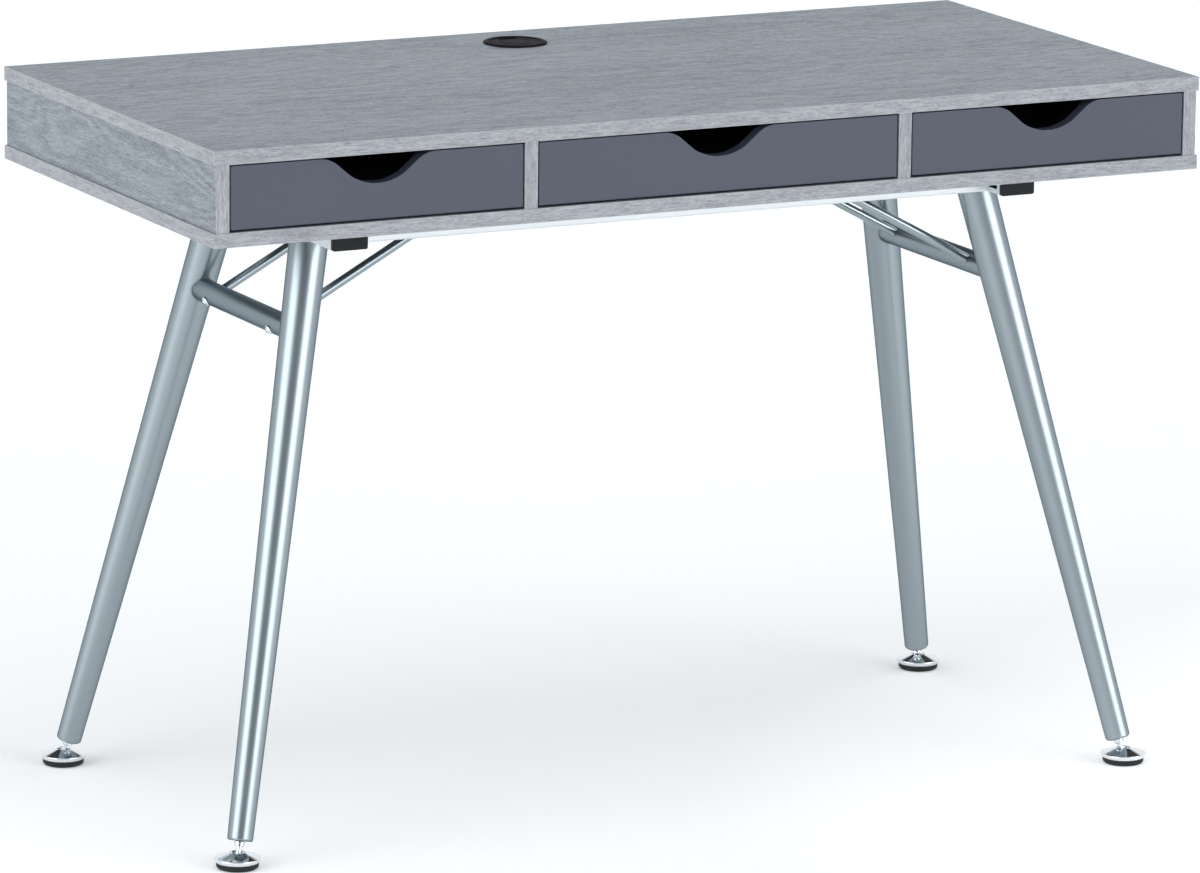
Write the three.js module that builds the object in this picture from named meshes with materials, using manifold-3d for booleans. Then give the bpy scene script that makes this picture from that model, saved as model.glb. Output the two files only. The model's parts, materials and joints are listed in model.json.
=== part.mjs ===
// Writing desk with three drawers: a panel case on a steel underframe with splayed, tapered legs.
// Millimetres. +X is to the user's right, +Y to the back, +Z up; the origin is on the floor, under
// the middle of the desk.
import * as THREE from 'three';
import { mergeVertices } from 'three/addons/utils/BufferGeometryUtils.js';
import Module from 'manifold-3d';

const wasm = await Module();
wasm.setup();

// Desk and case
const WIDTH = 1150;
const DEPTH = 557;
const HEIGHT = 763;
const BOARD = 15;
const CASE_HEIGHT = 100;
const END_INSET = 2.5;            // side panels stand back from the ends of the top and bottom
const EDGE_SETBACK = 1;           // uprights stand back from the front and back edges
const DIVIDER_CENTRE = 218.5;

// Drawers
const FRONT_GAP_SIDE = 1.5;
const FRONT_GAP_TOP = 1.5;
const FRONT_GAP_BOTTOM = 2.3;
const FRONT_SETBACK = 2;
const SCOOP_HALF_WIDTH = 64;
const SCOOP_DEPTH = 28.8;
const SCOOP_SHOULDER_RADIUS = 28;
const SCOOP_FLOOR_RADIUS = 45;
const SCOOP_SLOPE = THREE.MathUtils.degToRad(40);
const BOX_LENGTH = 380;
const BOX_HEIGHT = 52;
const BOX_LIFT = 7;               // drawer sides above the case floor
const BOX_BOARD = 12;
const BOX_CLEARANCE = 3;          // drawer side to the wall of its bay
const BASE_THICKNESS = 3;
const BASE_GROOVE = 3.4;
const BASE_GROOVE_DEPTH = 5;
const BASE_LIFT = 4;
const RUNNER_LIFT = 28;
const RUNNER_HEIGHT = 8.4;
const RUNNER_GROOVE = 9;
const RUNNER_GROOVE_DEPTH = 6.5;
const RUNNER_REACH = 9;
const RUNNER_FRONT_GAP = 3.5;

// Cable grommet
const GROMMET_X = -5;
const GROMMET_Y = 203;
const GROMMET_HOLE_RADIUS = 30;
const GROMMET_RIM_RADIUS = 35;
const GROMMET_RIM_HEIGHT = 2.5;
const CAP_RADIUS = 27.6;
const CABLE_SLOT_WIDTH = 22;
const CABLE_SLOT_DEPTH = 13;

// Underframe
const BEARER_X = 393;
const BEARER_WIDTH = 40;
const BEARER_HEIGHT = 27;
const BEARER_HALF_LENGTH = 212.5;
const TUBE_WALL = 1.5;
const TUBE_CORNER = 2.5;
const CAP_FLANGE = 5;
const CAP_PLUG = 12;
const CAP_CLEARANCE = 0.2;
const RAIL_FRONT_Y = 180.5;
const RAIL_WIDTH = 25;
const SLOT_START_Y = 184;
const SLOT_LENGTH = 18;
const SLOT_HEIGHT = 5;
const SLOT_LIFT = 6;
const LEG_TOP = new THREE.Vector3(388.4, 107.6, HEIGHT - CASE_HEIGHT);
const LEG_FLOOR = new THREE.Vector3(529.7, 234.3, 0);
const LEG_TOP_RADIUS = 21.05;
const LEG_FLOOR_RADIUS = 13.2;
const LEG_END_HEIGHT = 27;
const LEG_END_ROUNDING = 2.5;
const LEG_NUT_THICKNESS = 12;
const CROSS_TUBE_HEIGHT = 537.3;
const CROSS_TUBE_RADIUS = 12.5;
const CROSS_TUBE_WALL = 1.2;
const BRACE_RADIUS = 5;
const BRACE_Y = 82;
const BRACE_ANGLE = THREE.MathUtils.degToRad(28.5);
const TAB_THICKNESS = 3;
const TAB_WIDTH = 16;
const TAB_LENGTH = 46;
const BOLT_RADIUS = 3;
const BOLT_HEAD_RADIUS = 5.5;
const BOLT_HEAD_HEIGHT = 3.6;
const GAP = 0.3;                  // between pieces that are welded or clamped together

// Levelling feet
const BALL_HEIGHT = 5.5;
const BALL_RADIUS = 7;
const NECK_RADIUS = 2.9;
const COLLAR_RADIUS = 5.6;
const COLLAR_LENGTH = 5.2;
const SHANK_RADIUS = 3.94;
const SHANK_BORE = 4;
const SHANK_LENGTH = 30;
const CUP_RADIUS = 24.8;
const CUP_HEIGHT = 16.7;
const CUP_HOLE_RADIUS = 7.6;
const PAD_RADIUS = 22.3;

// Heights and places that follow from the sizes above
const UNDERSIDE = HEIGHT - CASE_HEIGHT;
const FLOOR_OF_BAYS = UNDERSIDE + BOARD;
const ROOF_OF_BAYS = HEIGHT - BOARD;
const END_INNER = WIDTH / 2 - END_INSET - BOARD;
const UPRIGHT_Y = DEPTH / 2 - EDGE_SETBACK;
const FRONT_FACE_Y = -(DEPTH / 2 - FRONT_SETBACK);
const BOX_FRONT_Y = FRONT_FACE_Y + BOARD;
const BAY_INNER = DIVIDER_CENTRE - BOARD / 2;
const BAY_OUTER = DIVIDER_CENTRE + BOARD / 2;
const BEARER_BOTTOM = UNDERSIDE - BEARER_HEIGHT;
const SIDES = [['left', -1], ['right', 1]];
const ENDS = [['front', -1], ['back', 1]];
const BAYS = [['left', -END_INNER, -BAY_OUTER], ['middle', -BAY_INNER, BAY_INNER],
  ['right', BAY_OUTER, END_INNER]];

const UP = new THREE.Vector3(0, 0, 1);
const ONE = new THREE.Vector3(1, 1, 1);
const LEG_TURNS = 24;
const SMALL_TURNS = 16;
const GROMMET_TURNS = 32;

const finish = (color, roughness, metalness) => (
  new THREE.MeshStandardMaterial({ color, roughness, metalness }));
const greyOak = finish(0x9a9ea6, 0.55, 0);
const slateLacquer = finish(0x62677a, 0.4, 0);
const drawerBoard = finish(0xb9bcc2, 0.6, 0);
const hardboard = finish(0xa8a49c, 0.7, 0);
const silverPaint = finish(0xa9b4bb, 0.35, 0.6);
const zincSteel = finish(0xc4ccd0, 0.25, 1);
const chrome = finish(0xd6dadd, 0.08, 1);
const blackPlastic = finish(0x262b31, 0.5, 0);
const nylon = finish(0xd9d9d4, 0.5, 0);
const blackRubber = finish(0x1d1f21, 0.8, 0);

const desk = new THREE.Group();

function add(name, geometry, material) {
  const mesh = new THREE.Mesh(geometry, material);
  mesh.name = name;
  desk.add(mesh);
  return mesh;
}

// --- Solids and how they are placed -----------------------------------------------------------

function solidFrom(geometry) {
  const bare = geometry.clone();
  bare.deleteAttribute('normal');
  bare.deleteAttribute('uv');
  const merged = mergeVertices(bare, 1e-4);
  return new wasm.Manifold(new wasm.Mesh({
    numProp: 3,
    vertProperties: new Float32Array(merged.attributes.position.array),
    triVerts: new Uint32Array(merged.index.array),
  }));
}

function geometryFrom(solid) {
  const mesh = solid.getMesh();
  const geometry = new THREE.BufferGeometry();
  geometry.setAttribute('position', new THREE.BufferAttribute(mesh.vertProperties, 3));
  geometry.setIndex(new THREE.BufferAttribute(mesh.triVerts, 1));
  geometry.computeVertexNormals();
  return geometry;
}

function boxBetween([x0, x1], [y0, y1], [z0, z1]) {
  const box = new THREE.BoxGeometry(x1 - x0, y1 - y0, z1 - z0);
  return box.translate((x0 + x1) / 2, (y0 + y1) / 2, (z0 + z1) / 2);
}

// A turned solid about +Z; each profile point is [radius, height].
function turned(profile, turns) {
  const points = profile.map(([radius, height]) => new THREE.Vector2(radius, height));
  return new THREE.LatheGeometry(points, turns).rotateX(Math.PI / 2);
}

function rod(radius, from, to, turns = SMALL_TURNS) {
  return turned([[0, from], [radius, from], [radius, to], [0, to]], turns);
}

// Points on an arc from one angle to another, in degrees, about [radius, height] centre.
function arc([r, z], radius, from, to, steps) {
  const points = [];
  for (let i = 0; i <= steps; i += 1) {
    const angle = THREE.MathUtils.degToRad(from + (to - from) * i / steps);
    points.push([r + radius * Math.cos(angle), z + radius * Math.sin(angle)]);
  }
  return points;
}

// The placement that stands local +Z along a direction, with the local origin at a point.
function standing(point, direction) {
  const turn = new THREE.Quaternion().setFromUnitVectors(UP, direction.clone().normalize());
  return new THREE.Matrix4().compose(point, turn, ONE);
}

function roundedRectangle(outline, width, height, radius) {
  const x = width / 2 - radius;
  const y = height / 2 - radius;
  outline.moveTo(x + radius, -y);
  outline.absarc(x, y, radius, 0, Math.PI / 2);
  outline.absarc(-x, y, radius, Math.PI / 2, Math.PI);
  outline.absarc(-x, -y, radius, Math.PI, 1.5 * Math.PI);
  outline.absarc(x, -y, radius, 1.5 * Math.PI, 2 * Math.PI);
  return outline;
}

// An outline drawn in X and Z, run from y0 to y1.
function runAlongY(outline, y0, y1, curveSegments = 3) {
  const settings = { depth: y1 - y0, bevelEnabled: false, steps: 1, curveSegments };
  return new THREE.ExtrudeGeometry(outline, settings).rotateX(Math.PI / 2).translate(0, y1, 0);
}

function boxTube(width, height, halfLength) {
  const outline = roundedRectangle(new THREE.Shape(), width, height, TUBE_CORNER);
  const inner = roundedRectangle(
    new THREE.Path(), width - 2 * TUBE_WALL, height - 2 * TUBE_WALL, TUBE_CORNER - TUBE_WALL);
  outline.holes.push(inner);
  return runAlongY(outline, -halfLength, halfLength);
}

// --- Case ---------------------------------------------------------------------------------------

function makeCase() {
  const wide = [-WIDTH / 2, WIDTH / 2];
  const deep = [-DEPTH / 2, DEPTH / 2];
  const tall = [FLOOR_OF_BAYS, ROOF_OF_BAYS];
  const upright = [-UPRIGHT_Y, UPRIGHT_Y];
  const backInner = UPRIGHT_Y - BOARD;
  const cableHole = rod(GROMMET_HOLE_RADIUS, ROOF_OF_BAYS - 1, HEIGHT + 1, GROMMET_TURNS);
  cableHole.translate(GROMMET_X, GROMMET_Y, 0);
  const top = solidFrom(boxBetween(wide, deep, [ROOF_OF_BAYS, HEIGHT])).subtract(solidFrom(cableHole));
  add('top_panel', geometryFrom(top), greyOak);
  add('bottom_panel', boxBetween(wide, deep, [UNDERSIDE, FLOOR_OF_BAYS]), greyOak);
  add('back_panel', boxBetween([-END_INNER, END_INNER], [backInner, UPRIGHT_Y], tall), greyOak);
  for (const [side, sign] of SIDES) {
    const end = [sign * END_INNER, sign * (END_INNER + BOARD)].sort((a, b) => a - b);
    add(`${side}_side_panel`, boxBetween(end, upright, tall), greyOak);
    const middle = sign * DIVIDER_CENTRE;
    const wall = [middle - BOARD / 2, middle + BOARD / 2];
    add(`${side}_divider`, boxBetween(wall, [-UPRIGHT_Y, backInner], tall), greyOak);
  }
}

// --- Cable grommet ------------------------------------------------------------------------------

function makeGrommet() {
  const ledge = HEIGHT - 0.7;
  const sleeve = turned([
    [GROMMET_RIM_RADIUS, HEIGHT + GAP / 3],
    [GROMMET_RIM_RADIUS, HEIGHT + 0.9],
    ...arc([GROMMET_RIM_RADIUS - 1.6, HEIGHT + 0.9], 1.6, 0, 90, 3),
    [CAP_RADIUS + 1.4, HEIGHT + GROMMET_RIM_HEIGHT],
    [CAP_RADIUS + 0.4, HEIGHT + 2],
    [CAP_RADIUS + 0.4, ledge],
    [CAP_RADIUS - 2.2, ledge],
    [CAP_RADIUS - 2.2, ledge - 2],
    [CAP_RADIUS - 0.2, ledge - 4],
    [CAP_RADIUS - 0.2, ROOF_OF_BAYS - 6],
    [GROMMET_HOLE_RADIUS - 0.6, ROOF_OF_BAYS - 6],
    [GROMMET_HOLE_RADIUS - 0.6, HEIGHT + GAP / 3],
    [GROMMET_RIM_RADIUS, HEIGHT + GAP / 3],
  ], GROMMET_TURNS);
  add('grommet_sleeve', sleeve.translate(GROMMET_X, GROMMET_Y, 0), blackPlastic);

  const disc = turned([
    [0, ledge + 0.1],
    [CAP_RADIUS, ledge + 0.1],
    [CAP_RADIUS, HEIGHT + 1.4],
    [CAP_RADIUS - 0.8, HEIGHT + 2.1],
    [CAP_RADIUS - 3, HEIGHT + 1.7],
    [0, HEIGHT + 1.7],
  ], GROMMET_TURNS);
  const slotHalf = CABLE_SLOT_WIDTH / 2;
  const slotFloor = CAP_RADIUS - CABLE_SLOT_DEPTH;
  const corner = 5;
  const outline = new THREE.Shape();
  outline.moveTo(-slotHalf, 2 * CAP_RADIUS);
  outline.lineTo(-slotHalf, slotFloor + corner);
  outline.absarc(-slotHalf + corner, slotFloor + corner, corner, Math.PI, 1.5 * Math.PI);
  outline.absarc(slotHalf - corner, slotFloor + corner, corner, 1.5 * Math.PI, 2 * Math.PI);
  outline.lineTo(slotHalf, 2 * CAP_RADIUS);
  const slot = new THREE.ExtrudeGeometry(outline, { depth: 10, bevelEnabled: false, curveSegments: 4 });
  slot.translate(0, 0, HEIGHT - 5);
  const cap = geometryFrom(solidFrom(disc).subtract(solidFrom(slot)));
  add('grommet_cap', cap.translate(GROMMET_X, GROMMET_Y, 0), blackPlastic);
}

// --- Drawers ------------------------------------------------------------------------------------

// The front board's outline, with a finger scoop in its top edge: convex shoulders and a concave floor,
// joined by straight slopes. X from the drawer's middle, Y up from the lower edge.
function scoopedOutline(width, height) {
  const across = Math.sin(SCOOP_SLOPE);
  const drop = 1 - Math.cos(SCOOP_SLOPE);
  const radii = SCOOP_SHOULDER_RADIUS + SCOOP_FLOOR_RADIUS;
  const straight = (SCOOP_DEPTH - radii * drop) / Math.tan(SCOOP_SLOPE);
  const floorHalf = SCOOP_HALF_WIDTH - radii * across - straight;
  const shoulderY = height - SCOOP_SHOULDER_RADIUS;
  const floorY = height - SCOOP_DEPTH + SCOOP_FLOOR_RADIUS;
  const up = Math.PI / 2;
  const down = -Math.PI / 2;
  const outline = new THREE.Shape();
  outline.moveTo(-width / 2, 0);
  outline.lineTo(width / 2, 0);
  outline.lineTo(width / 2, height);
  outline.absarc(SCOOP_HALF_WIDTH, shoulderY, SCOOP_SHOULDER_RADIUS, up, up + SCOOP_SLOPE);
  outline.absarc(floorHalf, floorY, SCOOP_FLOOR_RADIUS, down + SCOOP_SLOPE, down, true);
  outline.absarc(-floorHalf, floorY, SCOOP_FLOOR_RADIUS, down, down - SCOOP_SLOPE, true);
  outline.absarc(-SCOOP_HALF_WIDTH, shoulderY, SCOOP_SHOULDER_RADIUS, up - SCOOP_SLOPE, up);
  outline.lineTo(-width / 2, height);
  return outline;
}

// A drawer side's outline: a groove for the runner outside and one for the base inside. X runs from
// the outer face, at 0, inwards; Y up from the lower edge.
function sideOutline() {
  const runnerLow = RUNNER_LIFT - BOX_LIFT - (RUNNER_GROOVE - RUNNER_HEIGHT) / 2;
  const runnerHigh = runnerLow + RUNNER_GROOVE;
  const points = [
    [0, 0], [BOX_BOARD, 0],
    [BOX_BOARD, BASE_LIFT], [BOX_BOARD - BASE_GROOVE_DEPTH, BASE_LIFT],
    [BOX_BOARD - BASE_GROOVE_DEPTH, BASE_LIFT + BASE_GROOVE], [BOX_BOARD, BASE_LIFT + BASE_GROOVE],
    [BOX_BOARD, BOX_HEIGHT], [0, BOX_HEIGHT],
    [0, runnerHigh], [RUNNER_GROOVE_DEPTH, runnerHigh],
    [RUNNER_GROOVE_DEPTH, runnerLow], [0, runnerLow],
  ];
  return points.map(([x, y]) => new THREE.Vector2(x, y));
}

function makeDrawer(bay, x0, x1) {
  const middle = (x0 + x1) / 2;
  const frontWidth = x1 - x0 - 2 * FRONT_GAP_SIDE;
  const frontHeight = ROOF_OF_BAYS - FLOOR_OF_BAYS - FRONT_GAP_TOP - FRONT_GAP_BOTTOM;
  const front = runAlongY(scoopedOutline(frontWidth, frontHeight), FRONT_FACE_Y, BOX_FRONT_Y, 6);
  front.translate(middle, 0, FLOOR_OF_BAYS + FRONT_GAP_BOTTOM);
  add(`${bay}_drawer_front`, front, slateLacquer);

  const boxBack = BOX_FRONT_Y + BOX_LENGTH;
  const boxBottom = FLOOR_OF_BAYS + BOX_LIFT;
  const outerHalf = (x1 - x0) / 2 - BOX_CLEARANCE;
  const innerHalf = outerHalf - BOX_BOARD;
  for (const [side, sign] of SIDES) {
    const outline = sideOutline().map(({ x, y }) => new THREE.Vector2(sign * (outerHalf - x), y));
    const board = runAlongY(new THREE.Shape(outline), BOX_FRONT_Y, boxBack);
    add(`${bay}_drawer_${side}_side`, board.translate(middle, 0, boxBottom), drawerBoard);
  }
  const baseFloor = boxBottom + BASE_LIFT + (BASE_GROOVE - BASE_THICKNESS) / 2;
  const baseHalf = innerHalf + BASE_GROOVE_DEPTH - GAP;
  const base = boxBetween(
    [middle - baseHalf, middle + baseHalf],
    [BOX_FRONT_Y, boxBack],
    [baseFloor, baseFloor + BASE_THICKNESS],
  );
  add(`${bay}_drawer_base`, base, hardboard);
  const back = boxBetween(
    [middle - innerHalf, middle + innerHalf],
    [boxBack - BOX_BOARD, boxBack],
    [baseFloor + BASE_THICKNESS + GAP, boxBottom + BOX_HEIGHT],
  );
  add(`${bay}_drawer_back`, back, drawerBoard);
}

function makeRunners(bay, x0, x1) {
  const low = FLOOR_OF_BAYS + RUNNER_LIFT;
  const along = [BOX_FRONT_Y + RUNNER_FRONT_GAP, BOX_FRONT_Y + BOX_LENGTH];
  const tall = [low, low + RUNNER_HEIGHT];
  add(`${bay}_bay_left_runner`, boxBetween([x0, x0 + RUNNER_REACH], along, tall), nylon);
  add(`${bay}_bay_right_runner`, boxBetween([x1 - RUNNER_REACH, x1], along, tall), nylon);
}

// --- Underframe ---------------------------------------------------------------------------------

// Point on a leg's axis at a height; sx and sy pick the leg.
function legAxisAt(height, sx, sy) {
  const point = LEG_FLOOR.clone().lerp(LEG_TOP, height / LEG_TOP.z);
  return point.multiply(new THREE.Vector3(sx, sy, 1));
}

function legDirection(sx, sy) {
  return legAxisAt(LEG_TOP.z, sx, sy).sub(legAxisAt(0, sx, sy)).normalize();
}

function legRadiusAt(height) {
  return THREE.MathUtils.lerp(LEG_FLOOR_RADIUS, LEG_TOP_RADIUS, height / LEG_TOP.z);
}

// Distance along a leg's axis between two heights
function alongLeg(low, high) {
  return (high - low) / legDirection(1, 1).z;
}

function makeLeg(name, sx, sy) {
  const length = alongLeg(LEG_END_HEIGHT, BEARER_BOTTOM + 12);
  const endRadius = legRadiusAt(LEG_END_HEIGHT);
  const topRadius = legRadiusAt(BEARER_BOTTOM + 12);
  const nutRadius = endRadius - TUBE_WALL;
  const tube = turned([
    [SHANK_BORE, 0],
    ...arc([endRadius - LEG_END_ROUNDING, LEG_END_ROUNDING], LEG_END_ROUNDING, -90, 0, 3),
    [topRadius, length],
    [topRadius - TUBE_WALL, length],
    [nutRadius, LEG_NUT_THICKNESS],
    [SHANK_BORE, LEG_NUT_THICKNESS],
    [SHANK_BORE, 0],
  ], LEG_TURNS);
  tube.applyMatrix4(standing(legAxisAt(LEG_END_HEIGHT, sx, sy), legDirection(sx, sy)));
  const above = boxBetween(
    [-WIDTH / 2, WIDTH / 2], [-DEPTH / 2, DEPTH / 2], [BEARER_BOTTOM - GAP, HEIGHT]);
  add(name, geometryFrom(solidFrom(tube).subtract(solidFrom(above))), silverPaint);
}

// The space that a leg takes up, grown by the weld gap, for cutting a cross tube's ends to it
function legSpace(sx, sy) {
  const low = CROSS_TUBE_HEIGHT - 40;
  const high = CROSS_TUBE_HEIGHT + 40;
  const cone = turned([
    [0, 0],
    [legRadiusAt(low) + GAP, 0],
    [legRadiusAt(high) + GAP, alongLeg(low, high)],
    [0, alongLeg(low, high)],
  ], LEG_TURNS * 2);
  return solidFrom(cone.applyMatrix4(standing(legAxisAt(low, sx, sy), legDirection(sx, sy))));
}

// Where a brace's axis meets the cross tube's axis, and the way it rises towards the middle
function braceStart(sx, sy) {
  return new THREE.Vector3(legAxisAt(CROSS_TUBE_HEIGHT, sx, sy).x, sy * BRACE_Y, CROSS_TUBE_HEIGHT);
}

function braceDirection(sx) {
  return new THREE.Vector3(-sx * Math.cos(BRACE_ANGLE), 0, Math.sin(BRACE_ANGLE));
}

function makeCrossTube(name, sx) {
  const start = legAxisAt(CROSS_TUBE_HEIGHT, sx, -1);
  const length = -2 * start.y;
  const inner = CROSS_TUBE_RADIUS - CROSS_TUBE_WALL;
  const ring = turned(
    [[inner, 0], [CROSS_TUBE_RADIUS, 0], [CROSS_TUBE_RADIUS, length], [inner, length], [inner, 0]],
    LEG_TURNS);
  ring.applyMatrix4(standing(start, new THREE.Vector3(0, 1, 0)));
  let tube = solidFrom(ring);
  for (const sy of [-1, 1]) {
    const hole = rod(BOLT_RADIUS + GAP, -2 * CROSS_TUBE_RADIUS, 2 * CROSS_TUBE_RADIUS);
    hole.applyMatrix4(standing(braceStart(sx, sy), braceDirection(sx)));
    tube = tube.subtract(legSpace(sx, sy)).subtract(solidFrom(hole));
  }
  add(name, geometryFrom(tube), silverPaint);
}

// A brace rod with the bolt in its lower end and a flat tab for a wood screw at its upper end. The
// lower end is hollowed to sit on the cross tube; the bolt's head is on the tube's far side.
function makeBrace(name, sx, sy) {
  const start = braceStart(sx, sy);
  const place = standing(start, braceDirection(sx));
  const tabTop = UNDERSIDE - GAP / 3;
  const rise = tabTop - TAB_THICKNESS / 2 - start.z;
  const bar = solidFrom(rod(BRACE_RADIUS, 0, rise / Math.sin(BRACE_ANGLE)).applyMatrix4(place));
  const seat = rod(CROSS_TUBE_RADIUS + GAP, -30, 30, LEG_TURNS * 2);
  seat.applyMatrix4(standing(start, new THREE.Vector3(0, 1, 0)));
  const above = boxBetween([-WIDTH / 2, WIDTH / 2], [-DEPTH / 2, DEPTH / 2], [tabTop, HEIGHT]);

  const tabOuter = start.x - sx * rise / Math.tan(BRACE_ANGLE) + sx * 12;
  const tabX = [tabOuter, tabOuter - sx * TAB_LENGTH].sort((a, b) => a - b);
  const tabY = [start.y - TAB_WIDTH / 2, start.y + TAB_WIDTH / 2];
  const tab = solidFrom(boxBetween(tabX, tabY, [tabTop - TAB_THICKNESS, tabTop]));

  const headFace = -(CROSS_TUBE_RADIUS + GAP);
  const bolt = turned([
    [0, headFace - BOLT_HEAD_HEIGHT],
    [BOLT_HEAD_RADIUS * 0.55, headFace - BOLT_HEAD_HEIGHT * 0.92],
    [BOLT_HEAD_RADIUS * 0.9, headFace - BOLT_HEAD_HEIGHT * 0.5],
    [BOLT_HEAD_RADIUS, headFace],
    [BOLT_RADIUS, headFace],
    [BOLT_RADIUS, CROSS_TUBE_RADIUS + 6],
    [0, CROSS_TUBE_RADIUS + 6],
  ], SMALL_TURNS).applyMatrix4(place);
  const brace = bar.subtract(solidFrom(seat)).subtract(solidFrom(above)).add(tab).add(solidFrom(bolt));
  add(name, geometryFrom(brace), zincSteel);
}

// A front-to-back bearer, with a slot in its inner face ahead of each long rail
function makeBearer(side, sign) {
  const centre = [sign * BEARER_X, UNDERSIDE - BEARER_HEIGHT / 2];
  const halfLength = BEARER_HALF_LENGTH - CAP_FLANGE;
  const tube = boxTube(BEARER_WIDTH, BEARER_HEIGHT, halfLength).translate(centre[0], 0, centre[1]);
  let solid = solidFrom(tube);
  const innerFace = sign * (BEARER_X - BEARER_WIDTH / 2);
  for (const sy of [-1, 1]) {
    const along = [sy * SLOT_START_Y, sy * (SLOT_START_Y + SLOT_LENGTH)].sort((a, b) => a - b);
    const tall = [BEARER_BOTTOM + SLOT_LIFT, BEARER_BOTTOM + SLOT_LIFT + SLOT_HEIGHT];
    solid = solid.subtract(solidFrom(boxBetween([innerFace - 4, innerFace + 4], along, tall)));
  }
  add(`${side}_bearer`, geometryFrom(solid), silverPaint);

  for (const [end, sy] of ENDS) {
    const face = roundedRectangle(new THREE.Shape(), BEARER_WIDTH, BEARER_HEIGHT, TUBE_CORNER);
    const inset = 2 * (TUBE_WALL + CAP_CLEARANCE);
    const core = roundedRectangle(
      new THREE.Shape(), BEARER_WIDTH - inset, BEARER_HEIGHT - inset, TUBE_CORNER - TUBE_WALL);
    const outerY = [sy * BEARER_HALF_LENGTH, sy * halfLength].sort((a, b) => a - b);
    const coreY = [sy * (halfLength + 1), sy * (halfLength - CAP_PLUG)].sort((a, b) => a - b);
    const cap = solidFrom(runAlongY(face, ...outerY)).add(solidFrom(runAlongY(core, ...coreY)));
    const placed = geometryFrom(cap).translate(centre[0], 0, centre[1]);
    add(`${side}_${end}_tube_cap`, placed, blackPlastic);
  }
}

function makeRail(end, sy) {
  const halfLength = BEARER_X - BEARER_WIDTH / 2;
  const rail = boxTube(RAIL_WIDTH, BEARER_HEIGHT, halfLength).rotateZ(Math.PI / 2);
  const y = sy * (RAIL_FRONT_Y - RAIL_WIDTH / 2);
  add(`${end}_rail`, rail.translate(0, y, UNDERSIDE - BEARER_HEIGHT / 2), silverPaint);
}

// --- Levelling feet -----------------------------------------------------------------------------

// Heights in the stud's profile are measured up the leg's axis from the ball's centre.
function studProfile() {
  const collarTop = alongLeg(BALL_HEIGHT, LEG_END_HEIGHT) - GAP;
  const flat = -13;
  const neck = THREE.MathUtils.radToDeg(Math.acos(NECK_RADIUS / BALL_RADIUS));
  return [
    [0, BALL_RADIUS * Math.sin(THREE.MathUtils.degToRad(flat))],
    ...arc([0, 0], BALL_RADIUS, flat, neck, 5),
    [NECK_RADIUS, collarTop - COLLAR_LENGTH],
    [COLLAR_RADIUS, collarTop - COLLAR_LENGTH],
    [COLLAR_RADIUS, collarTop],
    [SHANK_RADIUS, collarTop],
    [SHANK_RADIUS, collarTop + SHANK_LENGTH],
    [0, collarTop + SHANK_LENGTH],
  ];
}

// A pressed cup with a conical top, a round hole for the stud's neck and a ball socket
function cupProfile() {
  const socket = BALL_RADIUS + 0.25;
  const lip = BALL_RADIUS - 0.6;
  const mouth = THREE.MathUtils.radToDeg(Math.acos(lip / socket));
  return [
    [socket, BALL_HEIGHT],
    [socket + 2.4, BALL_HEIGHT],
    [socket + 2.4, 14.6],
    [CUP_RADIUS - 2.6, 9.7],
    [CUP_RADIUS - 3.5, 6.9],
    [CUP_RADIUS - 2, 6.9],
    [CUP_RADIUS - 0.4, 9.5],
    [CUP_RADIUS, 11.1],
    [CUP_RADIUS - 1.2, 11.9],
    [CUP_HOLE_RADIUS, CUP_HEIGHT],
    ...arc([0, BALL_HEIGHT], socket, mouth, 0, 2),
  ];
}

// A rubber pad, hollowed so that the ball can tilt, with a ring that plugs into the cup
function padProfile() {
  const hollow = BALL_RADIUS + 3.6;
  return [
    [0, 0],
    [PAD_RADIUS - 2.5, 0],
    [PAD_RADIUS - 1, 0.7],
    [PAD_RADIUS, 2.6],
    [PAD_RADIUS, 6.6],
    [PAD_RADIUS - 2, 6.6],
    [PAD_RADIUS - 2, 9],
    [hollow, 9],
    [hollow, 1.2],
    [0, 1.2],
  ];
}

function makeFoot(corner, sx, sy) {
  const ball = legAxisAt(BALL_HEIGHT, sx, sy);
  const stud = turned(studProfile(), SMALL_TURNS);
  stud.applyMatrix4(standing(ball, legDirection(sx, sy)));
  add(`${corner}_foot_stud`, stud, zincSteel);
  const cup = turned(cupProfile(), LEG_TURNS).translate(ball.x, ball.y, 0);
  add(`${corner}_foot_cup`, cup, chrome);
  const pad = turned(padProfile(), LEG_TURNS).translate(ball.x, ball.y, 0);
  add(`${corner}_foot_pad`, pad, blackRubber);
}

// --- Assembly -----------------------------------------------------------------------------------

makeCase();
makeGrommet();
for (const [bay, x0, x1] of BAYS) {
  makeDrawer(bay, x0, x1);
  makeRunners(bay, x0, x1);
}
for (const [end, sy] of ENDS) {
  makeRail(end, sy);
}
for (const [side, sx] of SIDES) {
  makeBearer(side, sx);
  makeCrossTube(`${side}_cross_tube`, sx);
  for (const [end, sy] of ENDS) {
    makeLeg(`${side}_${end}_leg`, sx, sy);
    makeBrace(`${side}_${end}_brace`, sx, sy);
    makeFoot(`${side}_${end}`, sx, sy);
  }
}

export default desk;
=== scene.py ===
"""Writing desk with three drawers: the finished pieces, their materials and the studio around them."""

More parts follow.
